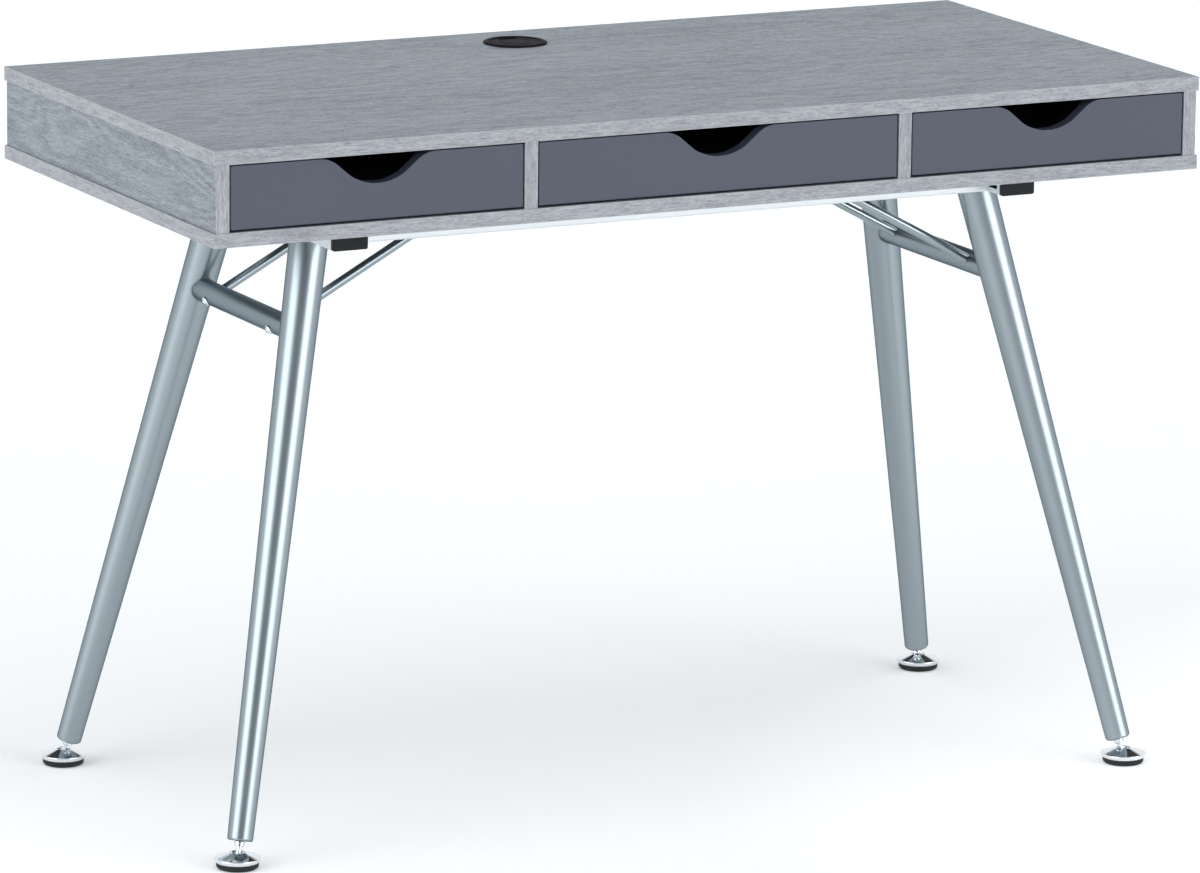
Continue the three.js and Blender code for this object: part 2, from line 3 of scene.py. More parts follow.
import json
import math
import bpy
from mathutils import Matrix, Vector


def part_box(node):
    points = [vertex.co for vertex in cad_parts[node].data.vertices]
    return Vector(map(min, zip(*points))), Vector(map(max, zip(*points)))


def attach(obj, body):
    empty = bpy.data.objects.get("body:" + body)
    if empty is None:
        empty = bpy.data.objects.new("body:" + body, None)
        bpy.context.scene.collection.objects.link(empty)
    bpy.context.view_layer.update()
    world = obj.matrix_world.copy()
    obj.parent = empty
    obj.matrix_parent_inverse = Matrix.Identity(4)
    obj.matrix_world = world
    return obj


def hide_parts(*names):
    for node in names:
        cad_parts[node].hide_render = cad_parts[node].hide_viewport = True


bl_info = {
    "name": "Writing Desk",
    "version": (1, 0, 0),
    "blender": (4, 5, 0),
    "location": "3D View > Sidebar > Desk",
    "description": "Builds the visible pieces of a three-drawer writing desk on its packed frame",
    "category": "Object",
}

from contextlib import contextmanager

import bmesh
import bpy
from bpy.props import FloatProperty, FloatVectorProperty, IntProperty, PointerProperty
from mathutils import Vector

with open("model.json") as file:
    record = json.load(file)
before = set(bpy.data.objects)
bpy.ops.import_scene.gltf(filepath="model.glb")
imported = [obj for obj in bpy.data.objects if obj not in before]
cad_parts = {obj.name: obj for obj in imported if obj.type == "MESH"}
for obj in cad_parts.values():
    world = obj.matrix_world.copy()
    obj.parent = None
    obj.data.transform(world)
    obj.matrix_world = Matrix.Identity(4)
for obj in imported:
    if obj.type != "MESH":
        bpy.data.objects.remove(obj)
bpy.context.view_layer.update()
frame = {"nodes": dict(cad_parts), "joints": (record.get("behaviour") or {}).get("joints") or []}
JOINTS = {joint["name"]: joint for joint in frame["joints"]}

MM = 0.001
SIDES = (("left", -1), ("right", 1))
ENDS = (("front", -1), ("back", 1))
BAYS = ("left", "middle", "right")
CORNERS = [(f"{side}_{end}", sx, sy) for side, sx in SIDES for end, sy in ENDS]
X, Y, Z = Vector((1, 0, 0)), Vector((0, 1, 0)), Vector((0, 0, 1))

# Shapes that the frame's boxes don't give
SCOOP_HALF_WIDTH = 64 * MM
SCOOP_DEPTH = 28.8 * MM
SCOOP_SHOULDER_RADIUS = 28 * MM
SCOOP_FLOOR_RADIUS = 45 * MM
SCOOP_SLOPE = math.radians(40)
FRONT_CORNER = 1.8 * MM
CUT_MARGIN = 5 * MM  # how far a cutter reaches past what it cuts
LEG_FLOOR_RADIUS = 13.2 * MM
LEG_TOP_RADIUS = 21.05 * MM
LEG_END_HEIGHT = 27 * MM
LEG_END_ROUNDING = 2.5 * MM
LEG_BORE = 4 * MM
LEG_RECESS = 12 * MM
LEG_SPARE = 12 * MM  # length that is trimmed off under the bearer
COPING_REACH = 40 * MM
TUBE_WALL = 1.5 * MM
TUBE_CORNER = 2.5 * MM
CAP_PLUG = 12 * MM
CAP_ROUNDING = 0.9 * MM
SLOT_START_Y = 184 * MM
SLOT_LENGTH = 18 * MM
SLOT_HEIGHT = 5 * MM
SLOT_LIFT = 6 * MM
BRACE_RADIUS = 5 * MM
BRACE_Y = 82 * MM
BRACE_ANGLE = math.radians(28.5)
BRACE_NECK = 13 * MM  # height below the flat tab where the round rod ends
BRACE_BEND = 26 * MM  # length from there to the bend
BRACE_TAB_STEP = 15 * MM
BRACE_TAB_THICKNESS = 3 * MM
BRACE_SCREW_INSET = 9 * MM
BRACE_SEAT_REACH = 30 * MM
BOLT_HEAD_RADIUS = 5.5 * MM
BOLT_HEAD_HEIGHT = 3.6 * MM
BALL_RADIUS = 7 * MM
BALL_FLAT = -13  # the ball is cut flat at this angle from its middle, in degrees
NECK_RADIUS = 2.9 * MM
COLLAR_RADIUS = 5.6 * MM
COLLAR_LENGTH = 5.2 * MM
SHANK_RADIUS = 3.94 * MM
SHANK_LENGTH = 30 * MM
SHANK_TURNS = 24
CUP_RADIUS = 24.8 * MM
CUP_HEIGHT = 16.7 * MM
CUP_HOLE_RADIUS = 7.6 * MM
PAD_RADIUS = 22.3 * MM
GROMMET_HOLE_RADIUS = 30 * MM
GROMMET_CAP_RADIUS = 27.6 * MM
CABLE_SLOT_WIDTH = 22 * MM
CABLE_SLOT_DEPTH = 13 * MM
WELD_GAP = 0.3 * MM
WELD_RADIUS = 1.1 * MM
BEARER_SCREWS_Y = (-0.190, -0.045, 0.045, 0.190)
BOARD_FACE, BOARD_ARRIS = 0, 1  # material slots of a banded board
ROUND_STEPS = 96  # faces round the grommet, the feet and the braces' seats
WELD_POINTS = 72
SIDE_SHADE = 0.87  # painted shade: the side panels' and dividers' faces are a darker copy of the top's print

# The camera: its place in metres, turn in degrees and lens in millimetres
CAMERA_PLACE = (-3.7568, -7.5179, 2.1964)
CAMERA_TURN = (77.697, -0.608, -26.432)
CAMERA_LENS = 239.03
CAMERA_TOWARDS = math.radians(26.43)

# Soft lights and dim parts of the studio: degrees round from the camera, degrees up, and the
# angles where a patch starts to fade and where it ends
LEFT_SOFTBOX = (-52, 14, 13, 30)
RIGHT_SOFTBOX = (57, 5, 12, 28)
DIM_BEHIND_CAMERA = (5, 13, 12, 36)
DIM_ABOVE_DESK = (180, 58, 24, 32)
DIMMING_ABOVE_DESK = 0.95
STUDIO_WHITE = (0.95, 0.98, 1.0, 1)
FLOOR_SIZE = 60
FLOOR_DROP = 0.2 * MM
FLOOR_GLOW = 0.14
# Painted light: glowing pools in the floor's paint, which no lamp lights, brighten the floor that the legs
# reflect.
FLOOR_LIGHT_POOLS = ((-2.5, -0.4, 2.1, 0.55), (0.95, -0.6, 1.0, 0.4))  # x, y, reach and strength


def colour(name, description, default):
    return FloatVectorProperty(
        name=name, description=description, default=default, subtype="COLOR", size=3, min=0.0, max=1.0
    )


def length(name, description, default):
    return FloatProperty(
        name=name, description=description, default=default, subtype="DISTANCE", unit="LENGTH"
    )


def amount(name, description, default, **limits):
    return FloatProperty(name=name, description=description, default=default, **limits)


# --- Settings that a user would change


class DESK_PG_board(bpy.types.PropertyGroup):
    face_dark: colour("Face, dark grain", "Darker tone of the printed faces", (0.116, 0.135, 0.159))
    face_light: colour("Face, light grain", "Lighter tone of the printed faces", (0.358, 0.399, 0.438))
    # Painted light: the edge bands carry the print's grain in lighter tones than the faces, so that the
    # edges look lit more than the tops.
    lit_edge_dark: colour("Edge band, dark grain", "Darker tone of the edge banding", (0.216, 0.221, 0.242))
    lit_edge_light: colour("Edge band, light grain", "Lighter tone of the edge banding", (0.376, 0.387, 0.416))
    backing: colour("Backing", "Plain foil under the bottom board", (0.085, 0.092, 0.102))
    # Painted highlight: the arris is painted paler than face and edge band, where light would catch the
    # softened corners.
    arris_highlight: colour("Arris", "Pale line where face and edge band meet", (0.40, 0.42, 0.44))
    arris_width: length("Arris width", "Softening of the boards' corners", 0.45 * MM)


class DESK_PG_drawer(bpy.types.PropertyGroup):
    front: colour("Front lacquer", "Slate lacquer of the drawer fronts", (0.0435, 0.0505, 0.079))
    box: colour("Drawer box", "Foil on the drawer's sides and back", (0.36, 0.38, 0.41))
    base: colour("Drawer base", "Painted hardboard of the drawer's base", (0.33, 0.34, 0.36))
    softening: length("Front softening", "Rounding of the drawer fronts' edges", 0.6 * MM)


class DESK_PG_metal(bpy.types.PropertyGroup):
    silver: colour("Silver paint", "Satin silver paint of the tubes", (0.31, 0.355, 0.385))
    rail: colour("Rail paint", "Matter silver paint of the rails and bearers", (0.74, 0.78, 0.80))
    zinc: colour("Zinc", "Zinc plate of rods, bolts and studs", (0.68, 0.73, 0.75))
    chrome: colour("Chrome", "Polished plate of the feet's cups", (0.80, 0.82, 0.84))
    facets: IntProperty(name="Facets", description="Faces round a leg or tube", default=96, min=24, max=256)


class DESK_PG_plastic(bpy.types.PropertyGroup):
    black: colour("Black plastic", "Tube caps", (0.009, 0.011, 0.014))
    grommet: colour("Grommet plastic", "Cable grommet", (0.017, 0.014, 0.017))
    rubber: colour("Rubber", "Pads under the feet", (0.012, 0.013, 0.014))
    nylon: colour("Nylon", "Drawer runners", (0.62, 0.63, 0.61))


class DESK_PG_stage(bpy.types.PropertyGroup):
    floor: colour("Floor", "Pale studio floor", (0.955, 0.96, 0.965))
    ambient: amount("Ambient", "Even light of the white studio", 1.0)
    left_glow: amount("Left softbox", "Brightness of the left softbox", 2.7)
    right_glow: amount("Right softbox", "Brightness of the right softbox", 3.8)
    dark_zone: amount("Dark zone", "Light kept behind the camera", 0.3, max=1.0)


GROUPS = {
    "desk_board": DESK_PG_board,
    "desk_drawer": DESK_PG_drawer,
    "desk_metal": DESK_PG_metal,
    "desk_plastic": DESK_PG_plastic,
    "desk_stage": DESK_PG_stage,
}


# --- Making, selecting and finishing pieces


def take_up(piece):
    """Select one piece alone and make it the active one."""
    bpy.ops.object.select_all(action="DESELECT")
    piece.select_set(True)
    bpy.context.view_layer.objects.active = piece


def newly_made(name):
    piece = bpy.context.view_layer.objects.active
    piece.name = name
    piece.data.name = name
    return piece


@contextmanager
def editing(piece, mode="FACE"):
    """Edit mode with nothing selected; yields the edit mesh."""
    take_up(piece)
    bpy.ops.object.mode_set(mode="EDIT")
    bpy.ops.mesh.select_mode(type=mode)
    bpy.ops.mesh.select_all(action="DESELECT")
    try:
        yield bmesh.from_edit_mesh(piece.data)
    finally:
        bpy.ops.object.mode_set(mode="OBJECT")


def pick(piece, elements, test):
    """Select the faces or edges that pass a test."""
    for element in elements:
        if test(element):
            element.select_set(True)
    bmesh.update_edit_mesh(piece.data)


def round_edges(piece, test, width, segments):
    """Bevel the edges that pass a test."""
    with editing(piece, "EDGE") as mesh:
        pick(piece, mesh.edges, test)
        bpy.ops.mesh.bevel(offset=width, segments=segments, affect="EDGES")


def extrude_by(step):
    bpy.ops.mesh.extrude_region_move(TRANSFORM_OT_translate={"value": step})


def middle_of(edge):
    return (edge.verts[0].co + edge.verts[1].co) / 2


def runs_along(edge, axis):
    return abs((edge.verts[1].co - edge.verts[0].co).normalized().dot(axis)) > 0.999


def modify(piece, kind, **settings):
    """Add one modifier and apply it."""
    take_up(piece)
    modifier = piece.modifiers.new(kind, kind)
    for key, value in settings.items():
        setattr(modifier, key, value)
    bpy.ops.object.modifier_apply(modifier=modifier.name)


def soften(piece, width, segments=2, material=-1):
    """Round the sharp edges."""
    modify(piece, "BEVEL", width=width, segments=segments, limit_method="ANGLE",
           angle_limit=math.radians(40), material=material, harden_normals=False)


def settle(piece):
    """Put a piece's place and turn into its mesh."""
    take_up(piece)
    bpy.ops.object.transform_apply(location=True, rotation=True, scale=True)


def stand(piece, place, up):
    """Stand a piece's Z along a direction at a place."""
    piece.rotation_mode = "QUATERNION"
    piece.rotation_quaternion = Z.rotation_difference(up)
    piece.location = place
    settle(piece)


def block(name, low, high):
    low, high = Vector(low), Vector(high)
    bpy.ops.object.select_all(action="DESELECT")
    bpy.ops.mesh.primitive_cube_add(size=1, location=(low + high) / 2)
    piece = newly_made(name)
    piece.scale = high - low
    settle(piece)
    return piece


def bar(name, radius, start, end, facets, far_radius=None):
    """A round bar, or a taper when the far end has its own radius."""
    start, end = Vector(start), Vector(end)
    bpy.ops.object.select_all(action="DESELECT")
    bpy.ops.mesh.primitive_cone_add(
        vertices=facets, radius1=radius, radius2=radius if far_radius is None else far_radius,
        depth=(end - start).length)
    piece = newly_made(name)
    stand(piece, (start + end) / 2, end - start)
    return piece


def arc(centre, radius, start, end, steps):
    """Profile points on an arc, angles in degrees."""
    points = []
    for step in range(steps + 1):
        angle = math.radians(start + (end - start) * step / steps)
        points.append((centre[0] + radius * math.cos(angle), centre[1] + radius * math.sin(angle)))
    return points


def turned(name, profile, steps=72):
    """Extrude a profile of (radius, height) point by point and spin it about Z."""
    bpy.ops.object.select_all(action="DESELECT")
    bpy.ops.mesh.primitive_circle_add(vertices=3, radius=MM)
    piece = newly_made(name)
    with editing(piece, "VERT"):
        bpy.ops.mesh.select_all(action="SELECT")
        bpy.ops.mesh.merge(type="CENTER")
        bpy.ops.transform.translate(value=(profile[0][0], 0, profile[0][1]))
        for before, after in zip(profile, profile[1:]):
            bpy.ops.mesh.extrude_verts_indiv()
            bpy.ops.transform.translate(value=(after[0] - before[0], 0, after[1] - before[1]))
        bpy.ops.mesh.select_all(action="SELECT")
        bpy.ops.mesh.spin(steps=steps, angle=2 * math.pi, center=(0, 0, 0), axis=(0, 0, 1))
        bpy.ops.mesh.select_all(action="SELECT")
        bpy.ops.mesh.remove_doubles(threshold=0.002 * MM)
        bpy.ops.mesh.normals_make_consistent(inside=False)
    return piece


def copy_of(node, name):
    """A merged copy of a CAD node's mesh, as a start for a finer piece."""
    source = frame["nodes"][node]
    piece = bpy.data.objects.new(name, source.data.copy())
    piece.data.materials.clear()
    bpy.context.collection.objects.link(piece)
    with editing(piece):
        bpy.ops.mesh.select_all(action="SELECT")
        bpy.ops.mesh.remove_doubles(threshold=0.005 * MM)
        bpy.ops.mesh.dissolve_limited(angle_limit=math.radians(1))
    return piece


def cut(piece, cutter):
    modify(piece, "BOOLEAN", operation="DIFFERENCE", object=cutter, solver="EXACT")
    bpy.data.objects.remove(cutter)


def finish(piece, body, materials, replaces=(), angle=35):
    """Smooth, paint and place a piece on its body."""
    take_up(piece)
    bpy.ops.object.shade_smooth_by_angle(angle=math.radians(angle))
    modify(piece, "WEIGHTED_NORMAL", keep_sharp=True)
    for material in materials:
        piece.data.materials.append(material)
    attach(piece, body)
    if replaces:
        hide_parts(*replaces)
    return piece


def sizes(node):
    low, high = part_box(node)
    return Vector(low), Vector(high)


# --- Materials


def shade(tone, factor):
    """A tone made darker or lighter."""
    return tuple(factor * part for part in tone)


def math_node(nodes, links, operation, *values):
    """A math node fed by numbers and by other nodes' sockets."""
    node = nodes.new("ShaderNodeMath")
    node.operation = operation
    for socket, value in zip(node.inputs, values):
        if isinstance(value, (int, float)):
            socket.default_value = value
        else:
            links.new(value, socket)
    return node.outputs["Value"]


class Recipe:
    """A node material under construction: short names for the few nodes that the finishes share."""

    def __init__(self, name, roughness, metallic=0.0, **sockets):
        self.material = bpy.data.materials.get(name) or bpy.data.materials.new(name)
        self.material.use_nodes = True
        self.nodes = self.material.node_tree.nodes
        self.links = self.material.node_tree.links
        self.nodes.clear()
        self.shader = self.nodes.new("ShaderNodeBsdfPrincipled")
        self.output = self.nodes.new("ShaderNodeOutputMaterial")
        self.links.new(self.shader.outputs["BSDF"], self.output.inputs["Surface"])
        self.shader.inputs["Roughness"].default_value = roughness
        self.shader.inputs["Metallic"].default_value = metallic
        for socket, value in sockets.items():
            self.shader.inputs[socket.replace("_", " ")].default_value = value
        self.coords = self.nodes.new("ShaderNodeTexCoord").outputs["Object"]

    def mapped(self, scale, offset=(0, 0, 0)):
        node = self.nodes.new("ShaderNodeMapping")
        node.inputs["Scale"].default_value = scale
        node.inputs["Location"].default_value = offset
        self.links.new(self.coords, node.inputs["Vector"])
        return node.outputs["Vector"]

    def noise(self, scale, detail=4.0, roughness=0.55, distortion=0.0, offset=(0, 0, 0)):
        """Noise stretched by a scale per metre along each axis."""
        node = self.nodes.new("ShaderNodeTexNoise")
        node.inputs["Scale"].default_value = 1.0
        node.inputs["Detail"].default_value = detail
        node.inputs["Roughness"].default_value = roughness
        node.inputs["Distortion"].default_value = distortion
        self.links.new(self.mapped(scale, offset), node.inputs["Vector"])
        return node.outputs["Fac"]

    def ramp(self, value, *stops):
        node = self.nodes.new("ShaderNodeValToRGB")
        elements = node.color_ramp.elements
        while len(elements) < len(stops):
            elements.new(0.5)
        for element, (position, tint) in zip(elements, stops):
            element.position = position
            element.color = (tint, tint, tint, 1) if isinstance(tint, float) else (*tint, 1)
        self.links.new(value, node.inputs["Fac"])
        return node.outputs["Color"]

    def math(self, operation, *values):
        return math_node(self.nodes, self.links, operation, *values)

    def mix(self, factor, first, second):
        """The first colour, and the second where the factor is 1."""
        node = self.nodes.new("ShaderNodeMix")
        node.data_type = "RGBA"
        self.links.new(factor, node.inputs["Factor"])
        self.links.new(first, node.inputs["A"])
        node.inputs["B"].default_value = (*second, 1)
        return node.outputs["Result"]

    def mottle(self, value, tone, darker, lighter, start=0.3, end=0.7):
        """Paint a tone that a noise makes darker and lighter."""
        self.paint(self.ramp(value, (start, shade(tone, darker)), (end, shade(tone, lighter))))

    def paint(self, value):
        self.links.new(value, self.shader.inputs["Base Color"])

    def rough(self, value, low, high):
        node = self.nodes.new("ShaderNodeMapRange")
        node.inputs["To Min"].default_value = low
        node.inputs["To Max"].default_value = high
        self.links.new(value, node.inputs["Value"])
        self.links.new(node.outputs["Result"], self.shader.inputs["Roughness"])

    def bump(self, value, depth, strength=1.0):
        node = self.nodes.new("ShaderNodeBump")
        node.inputs["Distance"].default_value = depth
        node.inputs["Strength"].default_value = strength
        self.links.new(value, node.inputs["Height"])
        self.links.new(node.outputs["Normal"], self.shader.inputs["Normal"])


def along(axis, grain, across):
    """A scale per metre that is stretched along one axis."""
    return tuple(grain if index == axis else across for index in range(3))


def printed_oak(name, axis, dark, light, figure, fine=1.0, spread=0.09, offset=(0, 0, 0)):
    """Grey oak print: broad tone, growth figure, streaks and short dark pores along one axis."""
    recipe = Recipe(name, roughness=0.5)
    broad = recipe.noise(along(axis, 2.2, 15), detail=3, offset=offset)
    rings = recipe.noise(along(axis, 5, 70), detail=4, roughness=0.6, distortion=1.3, offset=offset)
    streaks = recipe.noise(along(axis, 48, 320 * fine), detail=4, roughness=0.72, distortion=0.3,
                           offset=offset)
    fibres = recipe.noise(along(axis, 200, 1000 * fine), detail=3, roughness=0.7, offset=offset)
    pores = recipe.noise(along(axis, 60, 620 * fine), detail=2, roughness=0.5, offset=(3.1, 1.7, 2.3))
    growth = recipe.noise(along(axis, 2.4, 13), detail=1, distortion=0.6, offset=offset)
    waves = recipe.math("SINE", recipe.math("MULTIPLY", growth, 85.0))
    arches = recipe.math("MULTIPLY_ADD", waves, 0.5, 0.5)
    tone, total = None, 0.0
    for layer, share in ((streaks, 0.42), (fibres, 0.48), (rings, 0.10), (arches, figure), (broad, 0.08)):
        part = recipe.math("MULTIPLY", layer, share)
        tone = part if tone is None else recipe.math("ADD", tone, part)
        total += share
    print_tone = recipe.ramp(tone, (total * (0.5 - spread), dark), (total * (0.5 + spread), light))
    pore_mask = recipe.ramp(pores, (0.34, 1.0), (0.44, 0.0))
    recipe.paint(recipe.mix(recipe.math("MULTIPLY", pore_mask, 0.5), print_tone, shade(dark, 0.62)))
    recipe.rough(streaks, 0.40, 0.58)
    recipe.bump(recipe.math("SUBTRACT", fibres, recipe.math("MULTIPLY", pore_mask, 0.6)), 0.05 * MM, 0.7)
    return recipe.material


def lit_edge_band(axis, tones, offset):
    """Oak print on an edge band, its grain along one axis; its tones are lighter than the faces' as painted
    light on the boards' edges.
    """
    name = "oak_edge_" + "xyz"[axis]
    return printed_oak(name, axis, tones.lit_edge_dark, tones.lit_edge_light, figure=0.03, offset=offset)


def arris_highlight_line(name, tone):
    """Pale, finely speckled line where a face meets its edge band: a painted highlight along the boards'
    softened corners.
    """
    recipe = Recipe(name, roughness=0.45)
    speckle = recipe.noise((700, 700, 700), detail=2)
    recipe.mottle(speckle, tone, 0.86, 1.0, 0.35, 0.65)
    return recipe.material


def lacquer(name, tone):
    """Satin lacquer with a faint orange peel and a trace of tone variation."""
    recipe = Recipe(name, roughness=0.42, Coat_Weight=0.15, Coat_Roughness=0.3)
    cloud = recipe.noise((6, 6, 6), detail=2)
    recipe.mottle(cloud, tone, 0.975, 1.025)
    peel = recipe.noise((520, 520, 520), detail=2, roughness=0.4)
    recipe.rough(peel, 0.38, 0.46)
    recipe.bump(peel, 0.02 * MM, 0.6)
    return recipe.material


def foil(name, tone, axis=1):
    """Plain grey paper foil with a faint streak."""
    recipe = Recipe(name, roughness=0.55)
    streaks = recipe.noise(along(axis, 14, 420), detail=4, roughness=0.6)
    recipe.mottle(streaks, tone, 0.90, 1.06)
    recipe.rough(streaks, 0.5, 0.62)
    recipe.bump(streaks, 0.03 * MM, 0.5)
    return recipe.material


def hardboard(name, tone):
    """Painted hardboard with pressed fibres."""
    recipe = Recipe(name, roughness=0.6)
    fibres = recipe.noise((380, 380, 900), detail=6, roughness=0.7, distortion=1.5)
    recipe.mottle(fibres, tone, 0.86, 1.08, 0.35, 0.65)
    recipe.rough(fibres, 0.52, 0.7)
    recipe.bump(fibres, 0.08 * MM, 0.6)
    return recipe.material


def metal_paint(name, tone, low, high, metallic=0.92, flake=0.05):
    """Silver paint with fine flakes and slow changes in gloss."""
    recipe = Recipe(name, roughness=low, metallic=metallic, Specular_Tint=(*shade(tone, 0.8), 1))
    flakes = recipe.noise((2600, 2600, 2600), detail=1, roughness=0.4)
    cloud = recipe.noise((24, 24, 9), detail=4, roughness=0.6)
    recipe.mottle(flakes, tone, 1 - flake, 1 + flake)
    recipe.rough(cloud, low, high)
    recipe.bump(flakes, 0.01 * MM, 0.35)
    return recipe.material


def plated(name, tone, low, high):
    """Bright plate with faint polishing haze."""
    recipe = Recipe(name, roughness=low, metallic=1.0)
    haze = recipe.noise((160, 160, 160), detail=5, roughness=0.65)
    recipe.mottle(haze, tone, 0.95, 1.0)
    recipe.rough(haze, low, high)
    return recipe.material


def silver_paint():
    return metal_paint("silver_paint", bpy.context.scene.desk_metal.silver, 0.24, 0.34)


def zinc_plate():
    return plated("zinc_plate", bpy.context.scene.desk_metal.zinc, 0.16, 0.26)


def weld_metal(name, tone):
    """A painted weld bead: the paint over an uneven run."""
    recipe = Recipe(name, roughness=0.4, metallic=0.9)
    lumps = recipe.noise((420, 420, 420), detail=4, roughness=0.6)
    recipe.mottle(lumps, tone, 0.62, 0.9)
    recipe.rough(lumps, 0.32, 0.5)
    recipe.bump(lumps, 0.25 * MM, 0.8)
    return recipe.material


def moulded(name, tone, low, high, grain=1400, depth=0.02 * MM, shine=0.3):
    """Moulded plastic or rubber with a fine grain."""
    recipe = Recipe(name, roughness=low, Specular_IOR_Level=shine)
    texture = recipe.noise((grain, grain, grain), detail=3, roughness=0.55)
    cloud = recipe.noise((40, 40, 40), detail=3)
    recipe.mottle(cloud, tone, 0.85, 1.15)
    recipe.rough(cloud, low, high)
    recipe.bump(texture, depth, 0.6)
    return recipe.material


# --- Pieces


class DeskStep:
    """What every step's operator shares."""

    bl_options = {"REGISTER", "UNDO"}

    @staticmethod
    def done(pieces):
        if not pieces or any(len(piece.data.polygons) == 0 for piece in pieces):
            raise RuntimeError("a piece came out empty")
        return {"FINISHED"}


def board(node, name, materials, face_axis, edge_slots):
    """A banded board: the faces across face_axis in slot 0, the arris with its painted highlight in slot 1,
    other sides as given.
    """
    settings = bpy.context.scene.desk_board
    piece = block(name, *sizes(node))
    for material in materials:
        piece.data.materials.append(material)
    for polygon in piece.data.polygons:
        axis = max(range(3), key=lambda index: abs(polygon.normal[index]))
        polygon.material_index = BOARD_FACE if axis == face_axis else edge_slots[axis]
    soften(piece, settings.arris_width, material=BOARD_ARRIS)
    return piece


def laminated(piece, node):
    """Finish a board, which already has its materials."""
    return finish(piece, "desk", (), (node,), angle=20)


class DESK_OT_case(DeskStep, bpy.types.Operator):
    """Case boards: top with its cable hole, bottom, sides, dividers and back"""

    bl_idname = "desk.case"
    bl_label = "Case"

    def execute(self, context):
        tones = context.scene.desk_board
        # painted shade: the upright boards' faces take the top's print tones made darker
        shaded_side_dark, shaded_side_light = shade(tones.face_dark, SIDE_SHADE), shade(tones.face_light, SIDE_SHADE)
        face_x = printed_oak("oak_face_x", 0, tones.face_dark, tones.face_light, figure=0.03, fine=1.1,
                             spread=0.08)
        face_y = printed_oak("oak_face_y", 1, shaded_side_dark, shaded_side_light, figure=0.07, fine=1.5, spread=0.12)
        # painted light: the edges take the lighter edge tones
        edge_x = lit_edge_band(0, tones, (0.3, 0.7, 0.1))
        edge_y = lit_edge_band(1, tones, (0.9, 0.2, 0.4))
        edge_z = lit_edge_band(2, tones, (0.5, 0.1, 0.8))
        # painted highlight along the boards' arrises
        arris_highlight = arris_highlight_line("oak_arris", tones.arris_highlight)
        backing = foil("backing_foil", tones.backing)

        flat = [face_x, arris_highlight, edge_x, edge_y]
        top = board("top_panel", "top_board", flat, 2, {1: 2, 0: 3})
        self.bore_cable_hole(top)
        bottom = board("bottom_panel", "bottom_board", [*flat, backing], 2, {1: 2, 0: 3})
        for polygon in bottom.data.polygons:
            if polygon.normal.z < -0.9:
                polygon.material_index = len(flat)
        pieces = [laminated(top, "top_panel"), laminated(bottom, "bottom_panel")]

        upright = [face_y, arris_highlight, edge_z, edge_y]
        for side, _ in SIDES:
            for node in (f"{side}_side_panel", f"{side}_divider"):
                pieces.append(laminated(board(node, node + "_board", upright, 0, {1: 2, 2: 3}), node))
        back = board("back_panel", "back_board", [face_x, arris_highlight, edge_z, edge_x], 1, {0: 2, 2: 3})
        pieces.append(laminated(back, "back_panel"))
        return self.done(pieces)

    @staticmethod
    def bore_cable_hole(top):
        """The round hole that the grommet sits in, right through the top."""
        low, high = sizes("grommet_sleeve")
        x, y = (low.x + high.x) / 2, (low.y + high.y) / 2
        under, over = sizes("top_panel")[0].z - MM, sizes("top_panel")[1].z + MM
        cut(top, bar("hole", GROMMET_HOLE_RADIUS, (x, y, under), (x, y, over), ROUND_STEPS))


